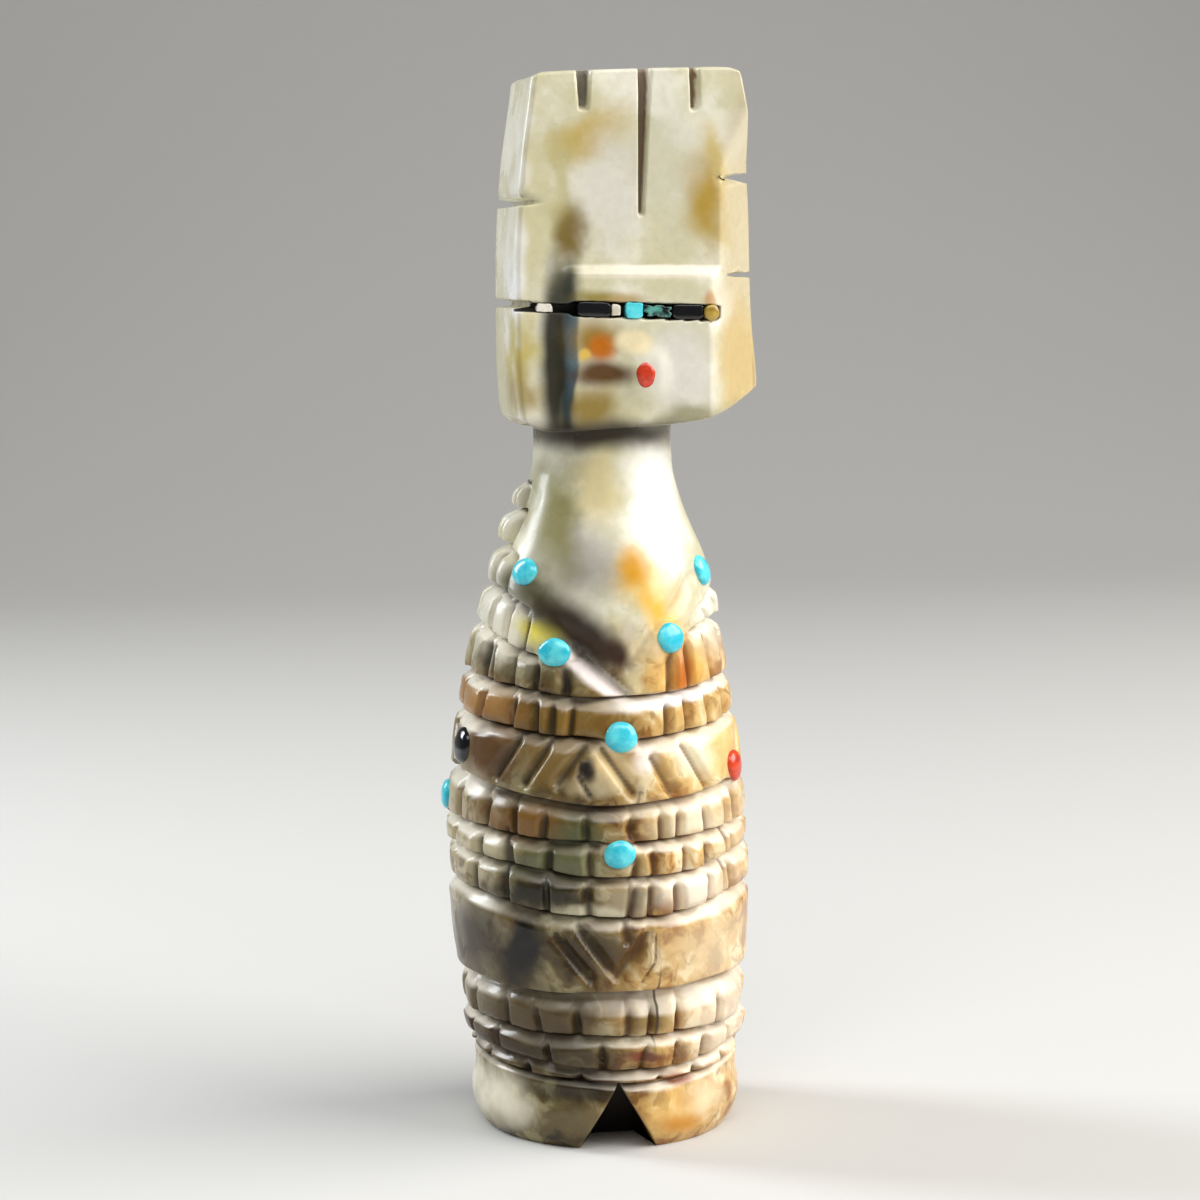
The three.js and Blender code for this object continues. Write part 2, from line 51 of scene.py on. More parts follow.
BODY_TALL = 51.4
BODY_RADIUS = 11.05
BODY_LINE = [
    (0, 0.805), (0.016, 0.855), (0.047, 0.891), (0.09, 0.869), (0.156, 0.932), (0.272, 0.977),
    (0.409, 1), (0.525, 0.964), (0.642, 0.882), (0.75, 0.778), (0.817, 0.679), (0.856, 0.593),
    (0.895, 0.516), (0.944, 0.457), (1.03, 0.452),
]
LEAN_LINE = [
    (0, 0.4), (0.12, 0.38), (0.27, 0), (0.5, -0.3), (0.7, -0.3), (0.82, 0), (0.93, 0.15),
    (1.03, 0.15),
]
NECK_TOP = 1 + 1.2 / BODY_TALL

# Ring cuts from the foot up: height at the front and climb to the sides as shares of the body's
# height, tilt, the angle where the ring begins, the width of its ledge and its depth in mm.
RINGS = [
    (0.093, 0.018, 0, 0, 0.5, 0.6),
    (0.113, 0.019, 0, 0, 0.7, 0.85),
    (0.162, 0.01, 0, 0, 0.95, 0.95),
    (0.226, 0.01, 0.003, 0, 1.75, 1.05),
    (0.333, 0.026, 0, 0, 1.2, 1.0),
    (0.389, 0.023, 0, 0, 0.95, 0.95),
    (0.437, 0.015, 0, 0, 0.95, 0.95),
    (0.488, 0.029, 0, 0, 1.25, 1.05),
    (0.577, 0.022, 0, 0, 1.05, 0.95),
    (0.634, 0.019, 0, 0, 0.9, 0.85),
    (0.692, 0.032, 0.015, 37, 0.8, 0.9),
    (0.722, 0.057, 0, 46, 0.8, 0.9),
    (0.776, 0.055, 0, 64, 0.8, 0.9),
    (0.829, 0.051, 0, 76, 0.7, 0.9),
    (0.872, 0.047, 0, 82, 0.5, 0.45),
]

# Upright cuts in the rows, counted from the foot: the angles of those on the side that shows,
# and the smooth stretch that they leave free to the left and right of the front.
ROW_CUTS = {
    1: ([-74, -48, -22, 13, 31, 50], 0, 0),
    2: ([-62, -36, -12, 4.5, 20, 34, 52], 0, 0),
    3: ([-76, -55, -38, -22, -1.5, 7.5, 20, 40, 58], 0, 0),
    5: ([-66, -49, -31, -15, 1, 9, 20, 35, 52], 0, 0),
    6: ([-62, -46, -31, -14, 3, 11, 24, 35, 52], 0, 0),
    7: ([-76, -60, -45, -32.5, -15, 1, 14, 21, 35, 55], 0, 0),
    9: ([-67, -49, -37, -30, -22, 19, 29, 43, 58], 14, 14),
    10: ([-70, -64, -51, -39, -24, 22, 33, 49, 64], 19, 19),
    11: ([-72, -58, -47, 52, 66], 42, 45),
    12: ([-80, -67], 64, 70),
    13: ([-92, -76], 76, 76),
    14: ([-92], 82, 82),
}

# Slanted cuts of the upper and then the lower band, each from one (angle, height in mm) to
# another, and the small marks among them with their width and depth in mm
BAND_CUTS = [
    ((-42, 30.1), (-55, 26.7)), ((-28, 30), (-41.5, 26.3)), ((-14.6, 29.5), (-27, 26.4)),
    ((-9.6, 29.3), (4.3, 25.7)), ((10.6, 28.6), (20, 25.6)), ((25, 29.3), (37.8, 25.8)),
    ((-29.5, 16.1), (-13.8, 12.5)), ((-20.4, 16.9), (-5.4, 13)),
    ((8.2, 16.2), (-6.2, 12.7)), ((-1.5, 16.9), (0, 15.2)),
]
SMALL_CUTS = [
    (((10.3, 13.9), (3.9, 12.3)), 0.5, 0.25), (((10.4, 16), (10.2, 13.9)), 0.45, 0.3),
    (((-16.6, 28.2), (-16, 27.2)), 1.5, 0.75), (((-18.7, 27.4), (-13, 25.7)), 0.9, 0.4),
]

# The neckline: the two lines of its V from the shoulders down, each with its depth, then the
# bevelled strip over its point, and the upright cuts beside the middle rows (angle, foot, top)
NECKLINE = [
    ([(-52, 40.9), (-40, 40), (-11.5, 36.7), (2, 34.4)], 0.06),
    ([(51, 41.1), (40, 40.6), (14.6, 37.2), (2, 34.4)], 0.22),
]
LAPEL = ((-25, 35.7), (1, 32.2))
SIDE_CUTS = [(-48, 18, 23.4), (47, 18, 24.6)]

# Sizes in mm: the step over a ring and the painted shade in its corner, the upright and the
# slanted cuts, the middle radius at which slanted cuts are measured round the body, and how far
# from a dot's middle the stone is whole and from where on it is cut
RING_STEP = 0.2
RING_CORNER_SHADE = 0.32
UPRIGHT_WIDE, UPRIGHT_DEEP = 0.95, 0.8
BAND_CUT_WIDE, BAND_CUT_DEEP = 1.45, 0.65
SKIN_RADIUS = 10.6
WHOLE_ROUND_DOT = (1.1, 1.7)

# The notch in the foot: its height, the angles of its two feet and of its point, and the
# columns of the grid that follow its sides
NOTCH_TALL = 4.9
NOTCH_FEET = (-23.0, 12.5)
NOTCH_POINT = -5.7
NOTCH_COLUMNS = (-17.0, 7.0)

# Dots let into the body: name, material slot, half width and half height in mm, angle, share
# of the body's height
BODY_DOTS = [
    ("turquoise_shoulder_left", "turquoise", 1.12, 1.0, -54, 0.8),
    ("turquoise_shoulder_right", "turquoise", 1.08, 1.1, 57, 0.797),
    ("turquoise_chest_left", "turquoise", 1.18, 1.02, -29.8, 0.696),
    ("turquoise_chest_right", "turquoise", 1.12, 1.08, 23.8, 0.713),
    ("turquoise_breast", "turquoise", 1.14, 1.1, -1.3, 0.583),
    ("turquoise_apron", "turquoise", 1.14, 1.0, -3.1, 0.424),
    ("turquoise_side_left", "turquoise", 1.1, 1.1, -97, 0.473),
    ("jet_side_left", "jet", 1.15, 1.3, -77, 0.554),
    ("coral_side_right", "coral", 1.08, 1.12, 57, 0.524),
]


def follow(points, at):
    """Smooth curve through (x, y) points: a cubic between each two, with the slope at a point
    taken from its two neighbours."""
    x, y = np.array(points, float).T
    slope = np.zeros_like(y)
    slope[1:-1] = (y[2:] - y[:-2]) / (x[2:] - x[:-2])
    slope[0] = (y[1] - y[0]) / (x[1] - x[0])
    slope[-1] = (y[-1] - y[-2]) / (x[-1] - x[-2])
    i = np.clip(np.searchsorted(x, at) - 1, 0, len(x) - 2)
    span = x[i + 1] - x[i]
    t = np.clip((at - x[i]) / span, 0, 1)
    rest = 1 - t
    ends = y[i] * (1 + 2 * t) * rest**2 + y[i + 1] * t**2 * (3 - 2 * t)
    return ends + span * t * rest * (slope[i] * rest - slope[i + 1] * t)


def ramp(at, low, high):
    """0 below low, 1 above high and a smooth rise between them."""
    t = np.clip((at - low) / (high - low), 0, 1)
    return t * t * (3 - 2 * t)


def short_way(start, angle):
    """Degrees from one angle to another, the shorter way round the body."""
    return (angle - start + 180) % 360 - 180


def ripple(points, size, seed):
    """Smooth unevenness between about -1 and 1: a sum of waves in random directions, each as
    long as size or a little more."""
    rng = np.random.default_rng(seed)
    total = np.zeros(points.shape[:-1])
    for _ in range(14):
        direction = rng.normal(size=3)
        direction /= np.linalg.norm(direction)
        wave = 2 * np.pi / (size * rng.uniform(0.8, 1.7))
        total += np.sin(points @ direction * wave + rng.uniform(0, 2 * np.pi))
    return total / 5


def beyond(angle, start):
    """From 0 to 1 as the angle from the front, in degrees, passes start on either side. The
    rows at the nape, which start furthest round, start later still on the right."""
    if start == 0:
        return np.ones_like(angle)
    edge = start + np.where(angle > 0, 32 if start > 60 else 0, 0)
    return ramp(np.abs(angle), edge - 4, edge + 4)


def ring_height(ring, angle):
    """Height of a ring: it climbs to the sides and stays level behind."""
    high, climb, tilt = ring[:3]
    turn = np.radians(angle)
    front = np.abs(angle) < 90
    rise = np.where(front, np.sin(turn) ** 2, 1)
    lean = np.where(front, np.sin(2 * turn), 0)
    phase = high * 90
    waver = 0.07 * np.sin(3 * turn + phase) + 0.05 * np.sin(8 * turn + 2 * phase)
    return BODY_TALL * (high + climb * rise + tilt * lean) + waver


def body_rows():
    """Rows of the grid as (ring below, share of the way to the ring above), closer together at
    the rings' ledges and under their edges."""
    heights = [0] + [ring[0] * BODY_TALL for ring in RINGS] + [NECK_TOP * BODY_TALL]
    rows = []
    for k in range(len(heights) - 1):
        tall = heights[k + 1] - heights[k]
        ledge = RINGS[k][4] if k < len(RINGS) else 0
        under = [0, 0.09, 0.19, 0.32] if k else [0, 0.12, 0.3, 0.6, 1, 1.5]
        over = [ledge * s for s in (1.12, 0.9, 0.6, 0.3, 0.06)] if ledge else []
        space = 0.28 if k in (4, 8) else 0.36
        start, stop = under[-1], tall - (over[0] if over else 0)
        count = max(1, round((stop - start) / space))
        middle = list(np.linspace(start, stop, count + 1)[1:-1]) if count > 1 else []
        marks = under + middle + [tall - d for d in over]
        rows += [(k, m / tall) for m in sorted(marks) if m < tall - 1e-6]
    return rows + [(len(heights) - 2, 1.0)]


def body_columns():
    """Angles of the grid's columns in degrees, closer together on the side that shows."""
    front = np.linspace(-112, 92, 228, endpoint=False)
    back = np.linspace(92, 248, 92, endpoint=False)
    angles = np.concatenate([front, back])
    for mark in NOTCH_COLUMNS:
        nearest = np.argsort(np.abs(angles - mark))[:2]
        angles[np.sort(nearest)] = (mark - 0.12, mark + 0.12)
    return np.where(angles > 180, angles - 360, angles)


def beside_notch(columns, height):
    """Turns the columns near the front of the foot so that two pairs of them follow the notch's
    slanted sides up to its point. Over the notch they return to their places."""
    up = np.clip(height / NOTCH_TALL, 0, 1)
    back = ramp(height, NOTCH_TALL, NOTCH_TALL + 3)
    sides = []
    for foot, place, offset in zip(NOTCH_FEET, NOTCH_COLUMNS, (-0.15, 0.15)):
        side = foot + (NOTCH_POINT + offset - foot) * up
        sides.append(side + (place - side) * back)
    left, right = sides
    start, stop = -70, 60
    a, b = NOTCH_COLUMNS
    beyond_left = start + (left - start) * (columns - start) / (a - start)
    between = left + (right - left) * (columns - a) / (b - a)
    beyond_right = right + (stop - right) * (columns - b) / (stop - b)
    turned = np.where(columns < a, beyond_left, np.where(columns > b, beyond_right, between))
    return np.where((columns > start) & (columns < stop), turned, columns)


def bare_body(angle, height):
    """The uncut body: radius and sideways lean from two lines up the figure, with the kernels
    at the nape standing proud of the neck."""
    share = height / BODY_TALL
    top = ring_height(RINGS[-1], angle)
    proud = 0.6 * ramp(share, 0.8, 0.88) * beyond(angle, 82)
    proud = proud * (1 - ramp(height, top - 0.05, top + 0.12))
    return BODY_RADIUS * follow(BODY_LINE, share) + proud, follow(LEAN_LINE, share)


def slanted(angle, height, ends, width, bevel=False):
    """A cut along a line over the skin, from 0 at its borders to 1 where it is deepest: its
    distance from the line, measured round and up the body, sets the depth, and the ends run
    out softly. A bevel is deepest along its upper border, where it ends in a small step."""
    (a0, z0), (a1, z1) = ends
    x, y = np.radians(short_way(a0, angle)) * SKIN_RADIUS, height - z0
    dx, dy = np.radians(short_way(a0, a1)) * SKIN_RADIUS, z1 - z0
    length = np.hypot(dx, dy)
    on = (x * dx + y * dy) / length
    off = (y * dx - x * dy) / length
    reach = np.clip(np.minimum(on, length - on) / 0.5 + 0.6, 0, 1)
    half = width / 2
    if bevel:
        return np.minimum((off + half) / width, (half - off) / 0.25 + 1).clip(0, 1) * reach
    return np.clip(1 - np.abs(off) / half, 0, 1) * reach


def deepen(skin, depth, grime_and_shade=0, highlight_amount=0):
    """Takes a cut from the skin wherever it is deeper than the cuts that are already there, and
    keeps the stronger darkening in it, grime with painted shade, and the stronger painted
    highlight on it."""
    for name, amount in (("cut", depth), ("soil", grime_and_shade), ("worn", highlight_amount)):
        skin[name] = np.maximum(skin[name], amount)


def cut_rings(skin):
    """Below each ring a slanting ledge, painted pale as a highlight where it catches the light
    from above, and over it an upright step with painted shade in its corner."""
    angle, height = skin["angle"], skin["height"]
    for k, ring in enumerate(RINGS):
        start, wide, deep = ring[3:]
        away = height - ring_height(ring, angle)
        ledge = wide * (1 + 0.25 * ripple(skin["place"] * (1, 1, 0), 9, 30 + k))
        below = np.clip(1 + away / ledge, 0, 1)
        above = np.clip(1 - away / RING_STEP, 0, 1)
        mask = beyond(angle, start)
        profile = np.where(away < 0, below**1.15, above)
        # The corner under each step is painted dark, as shade.
        corner = np.where(away < 0, np.clip(1 + away / RING_CORNER_SHADE, 0, 1), above)
        # The ledge below each ring is painted pale, as a highlight.
        highlight_amount = np.where(away < 0, ramp(below, 0, 0.3), 0)
        deepen(skin, deep * mask * profile, mask * corner, mask * highlight_amount)


def cut_kernels(skin, low, anchors):
    """Upright cuts between the kernels of a row, then each kernel's own rounding, size and
    tilt. Low is the ring below each row of the grid, anchors are the heights of the rings."""
    rng = np.random.default_rng(7)
    angle, height = skin["angle"], skin["height"]
    for k, (marks, left, right) in ROW_CUTS.items():
        nape = k > 11
        inside = (low == k)[:, None]
        start, stop = anchors[k], anchors[k + 1]
        ledge = RINGS[k][4]
        fade = 1 - 0.75 * ramp(height, stop - 1.25 * ledge, stop - 0.3 * ledge)
        first, last = marks[0] + 360, marks[-1]
        count = max(2, round((first - last) / (15 if nape else 21)))
        behind = list(np.linspace(last, first, count + 1)[1:-1])
        every = np.array(sorted(short_way(0, np.array(marks + behind))))
        clear = np.where(angle < 0, beyond(angle, left), beyond(angle, right))
        for mark in every:
            slope = rng.normal(0, 0.5)
            width = UPRIGHT_WIDE * rng.uniform(0.75, 1.3)
            deep = UPRIGHT_DEEP * rng.uniform(0.65, 1.1)
            middle = mark + slope * (height - start)
            off = np.radians(short_way(middle, angle)) * skin["radius"]
            groove = np.clip(1 - np.abs(off) / (width / 2), 0, 1) ** 0.8
            groove = inside * groove * fade * clear
            # Each upright cut is darkened, grime with painted shade.
            deepen(skin, deep * groove, 0.95 * groove)
        edges = np.concatenate([every, [every[0] + 360]])
        for a, b in zip(edges[:-1], edges[1:]):
            mid, half = (a + b) / 2, (b - a) / 2
            off = short_way(mid, angle) / half
            here = inside & (np.abs(off) < 1)
            up = (height - start) / (stop - start) * 2 - 1
            dome = 0.16 * (off**4 + up**4) + rng.normal(0, 0.09) + rng.normal(0, 0.11) * off
            dome = dome + (0.45 if nape else 0) * (off**2 + up**2 - 0.6)
            skin["shape"] = np.where(here, skin["shape"] + dome * clear, skin["shape"])


def cut_bands(skin):
    """Slanted cuts of the two bands, the same group again twice round the back, a little wider
    there, and the small marks among those in front."""
    angle, height = skin["angle"], skin["height"]
    for again in (0, 120, 240):
        rise, more = (0, 0) if again == 0 else (0.8, 0.3)
        for (a0, z0), (a1, z1) in BAND_CUTS:
            ends = ((a0 + again, z0 + rise), (a1 + again, z1 + rise))
            trace = ramp(slanted(angle, height, ends, BAND_CUT_WIDE + more), 0, 1)
            # Slanted cuts, and the small marks below, are darkened, grime with painted shade.
            deepen(skin, BAND_CUT_DEEP * trace, 0.8 * trace**1.5)
    for ends, width, depth in SMALL_CUTS:
        trace = slanted(angle, height, ends, width)
        deepen(skin, depth * trace, trace)


def cut_neckline(skin):
    """A V groove from both shoulders, a bevelled strip across its point and two upright cuts
    that part the middle rows from the sides."""
    angle, height = skin["angle"], skin["height"]
    for line, depth in NECKLINE:
        for ends in zip(line[:-1], line[1:]):
            trace = ramp(slanted(angle, height, ends, 2.0), 0, 1)
            # The neckline groove is darkened, grime with painted shade.
            deepen(skin, depth * trace, 0.5 * trace)
    lapel = slanted(angle, height, LAPEL, 1.6, bevel=True)
    # The lapel bevel is painted pale, as a highlight where it faces the light.
    deepen(skin, 0.9 * lapel, 0, ramp(lapel, 0.05, 0.5))
    for turned, foot, top in SIDE_CUTS:
        trace = slanted(angle, height, ((turned, foot), (turned, top)), 0.9)
        # The side cuts are darkened, grime with painted shade.
        deepen(skin, UPRIGHT_DEEP * trace, trace)


def body_surface():
    """The carved body as a grid of rows up the figure and columns round it. All cuts are taken
    from the bare body, with the stone left whole round each dot. The second result is, for
    each point, the darkening in the cuts, grime with painted shade, and the painted highlight
    on the ledges."""
    rows = body_rows()
    columns = body_columns()
    anchors = [np.zeros_like(columns)] + [ring_height(r, columns) for r in RINGS]
    anchors = np.array(anchors + [np.full_like(columns, NECK_TOP * BODY_TALL)])
    low = np.array([k for k, _ in rows])
    share = np.array([s for _, s in rows])[:, None]
    height = anchors[low] * (1 - share) + anchors[low + 1] * share
    angle = beside_notch(columns, height)
    radius, lean = bare_body(angle, height)
    turn = np.radians(angle)
    place = np.stack([radius * np.sin(turn), -radius * np.cos(turn), height], -1)
    skin = {"angle": angle, "height": height, "radius": radius, "place": place}
    skin.update({name: np.zeros_like(height) for name in ("cut", "soil", "worn", "shape")})
    cut_rings(skin)
    cut_kernels(skin, low, anchors)
    cut_bands(skin)
    cut_neckline(skin)
    taken = skin["cut"] + skin["shape"]
    for *_, turned, up in BODY_DOTS:
        beside = np.radians(short_way(turned, angle)) * radius
        taken = taken * ramp(np.hypot(beside, height - up * BODY_TALL), *WHOLE_ROUND_DOT)

    # The smooth bib swells a little inside the V, and the whole surface is slightly uneven
    bib = ramp(height, 35, 37.5) * (1 - ramp(height, 41, 46)) * (1 - ramp(np.abs(angle), 10, 48))
    uneven = ripple(place, 5, 3) * 0.05 + ripple(place, 1.6, 4) * 0.025
    smooth = ramp(height, 40, 44) * (1 - beyond(angle, 62))
    radius = radius - taken + 0.25 * bib + uneven * (1 - 0.75 * smooth)
    x, y = radius * np.sin(turn) + lean, -radius * np.cos(turn)

    # The neck's top is flattened behind, so that it stays inside the head
    inner = HEAD_BACK - 0.3 + 3 * (1 - ramp(height, 49.8, 51))
    y = np.where(height > 49.5, np.minimum(y, inner), y)

    # Notch between the two lobes of the foot, closing towards the top and the back
    inside = (columns > NOTCH_COLUMNS[0]) & (columns < NOTCH_COLUMNS[1]) & (height < NOTCH_TALL)
    back = -4.8 - 4 * np.clip(height / NOTCH_TALL, 0, 1) ** 1.5
    y = np.where(inside, np.maximum(y, back), y)
    # Inside the notch the colour is painted near black, as deep shade.
    soil = np.where(inside, 2, skin["soil"])
    return np.stack([x, y, height], -1), np.stack([soil, skin["worn"]], -1)


def grid_faces(rows, columns, offset=0):
    """Quads of a grid that closes round its columns."""
    i = np.arange(rows - 1)[:, None]
    j = np.arange(columns)[None, :]
    after = (j + 1) % columns
    quads = np.stack(
        [i * columns + j, i * columns + after, (i + 1) * columns + after, (i + 1) * columns + j],
        -1,
    )
    return (quads.reshape(-1, 4) + offset).tolist()


def closed(rings, low_tip, high_tip):
    """Points and faces of a stack of rings, closed at both ends by a fan to one point."""
    count = rings.shape[1]
    points = np.concatenate([rings.reshape(-1, 3), [low_tip, high_tip]])
    last, foot, top = (len(rings) - 1) * count, len(points) - 2, len(points) - 1
    j = np.arange(count)
    after = (j + 1) % count
    fans = np.stack([0 * j + foot, after, j, 0 * j + top, last + j, last + after], -1)
    return points, grid_faces(len(rings), count) + fans.reshape(-1, 3).tolist()


def capped(surface, extra, low_tip, high_tip):
    """Closes a grid at both ends with a ring of quads, half way in, and a fan to one point."""
    low_ring = low_tip + (surface[0] - low_tip) * 0.5
    high_ring = high_tip + (surface[-1] - high_tip) * 0.5
    full = np.concatenate([low_ring[None], surface, high_ring[None]])
    points, faces = closed(full, low_tip, high_tip)
    amount = np.concatenate([extra[:1] * 0, extra, extra[-1:]]).reshape(-1, 2)
    return points, np.concatenate([amount, np.zeros((2, 2))]), faces


# The head block: a squared headdress with a flat raised face, sawn grooves down the crown, saw
# cuts through both side edges, a facet down the right edge and the cut that holds the eyes. It
# is one piece with the body; the two surfaces meet inside the neck.

HEAD_WIDE = 17.8
HEAD_TALL = 25
HEAD_MIDDLE = 1.9
HEAD_FRONT = -5
HEAD_BACK = 4.4
FACE_PROUD = 0.8


def head_x(share):
    """Across the head, from a share of its width measured from its middle."""
    return HEAD_MIDDLE + share * HEAD_WIDE


def head_z(share):
    """Up the head, from a share of its height."""
    return BODY_TALL + share * HEAD_TALL


def spread(start, stop, count, places):
    """Positions from start to stop that crowd together round the given places; each place is
    (middle, half width, how many times closer)."""
    fine = np.linspace(start, stop, 4001)
    weight = np.ones_like(fine)
    for middle, half, gain in places:
        weight += gain * (1 - ramp(np.abs(fine - middle), half * 0.6, half * 1.4))
    total = np.concatenate([[0], np.cumsum((weight[1:] + weight[:-1]) / 2)])
    return np.interp(np.linspace(0, total[-1], count), total, fine)


EYE_SLOPE = -0.03


def eye_line(x):
    """Height of the eye cut's middle: it falls slightly to the right."""
    return head_z(0.326) + EYE_SLOPE * (x - HEAD_MIDDLE)


def side_line(side, height):
    """The left or right edge of the head at a height, and how far a saw cut goes into it."""
    if side < 0:
        line = [
            (-0.02, -0.44), (0.008, -0.469), (0.06, -0.485), (0.164, -0.497), (0.364, -0.5),
            (0.524, -0.497), (0.724, -0.478), (0.928, -0.441), (0.98, -0.43), (1, -0.42),
        ]
        cuts = [(0.63, 1.15, 0.3), (0.344, 1.2, 0.3)]
    else:
        line = [
            (-0.02, 0.515), (0.1, 0.52), (0.136, 0.522), (0.384, 0.489), (0.624, 0.475),
            (0.824, 0.449), (0.96, 0.415), (0.985, 0.408), (1.02, 0.39),
        ]
        cuts = [(0.7, 2.6, 0.22), (0.426, 2.3, 0.16), (0.32, 0.5, 0.14)]
    edge = head_x(follow(line, (height - BODY_TALL) / HEAD_TALL))
    depth = np.zeros_like(height)
    for share, deep, half in cuts:
        off = np.abs(height - head_z(share))
        depth = np.maximum(depth, deep * (1 - ramp(off, half * 0.55, half * 1.15)))
    return edge, depth


def head_relief(x, z):
    """How far the head's front stands out from its plane: the raised face with sloped top and
    left side, the mound for the mouth, the sawn grooves and the facet at the right."""
    face = ramp(x, head_x(-0.345), head_x(-0.262)) * (1 - ramp(z, head_z(0.428), head_z(0.452)))
    out = FACE_PROUD * face
    out -= 0.1 * ramp(z, head_z(0.36), head_z(0.43)) * face
    away = np.hypot(x - head_x(0.012), (z - head_z(0.15)) * 0.9)
    out += 0.34 * (1 - ramp(away, 0.9, 2.3))
    out -= 0.16 * ramp(z, head_z(0.9), head_z(1)) ** 2
    for share, foot, wide, narrow in (
        (-0.228, 0.885, 0.46, 0.3), (0.009, 0.594, 0.38, 0.17), (0.217, 0.887, 0.28, 0.22),
    ):
        up = np.clip((z - head_z(foot)) / (head_z(1) - head_z(foot)), 0, 1)
        half = narrow + (wide - narrow) * up
        lean = 0.2 * (up - 0.5) if share == 0.009 else 0
        off = np.abs(x - head_x(share) - lean)
        deep = (0.75 + 0.5 * up) * ramp(z, head_z(foot) - 0.1, head_z(foot) + 0.25)
        out -= deep * (1 - ramp(off, half - 0.12, half + 0.1))
    for share, start, stop, half in ((0.63, -0.5, -0.46, 0.22), (0.7, 0.31, 0.5, 0.16)):
        along_cut = ramp(x, head_x(start) - 0.3, head_x(start) + 0.3)
        along_cut *= 1 - ramp(x, head_x(stop) - 0.3, head_x(stop) + 0.5)
        out -= 0.3 * along_cut * (1 - ramp(np.abs(z - head_z(share)), half * 0.3, half))
    out = out + (-0.55 - out) * eye_slot(x, z)
    return np.maximum(np.minimum(out, facet_edge(z) - x), -3.2)


def eye_slot(x, z):
    """1 inside the saw cut across the face and 0 outside; it is narrower beside the face."""
    half = 0.32 + 0.2 * ramp(x, head_x(-0.3), head_x(-0.27))
    slot = 1 - ramp(np.abs(z - eye_line(x)), half - 0.05, half + 0.05)
    return slot * (1 - ramp(x, head_x(0.3), head_x(0.35)))


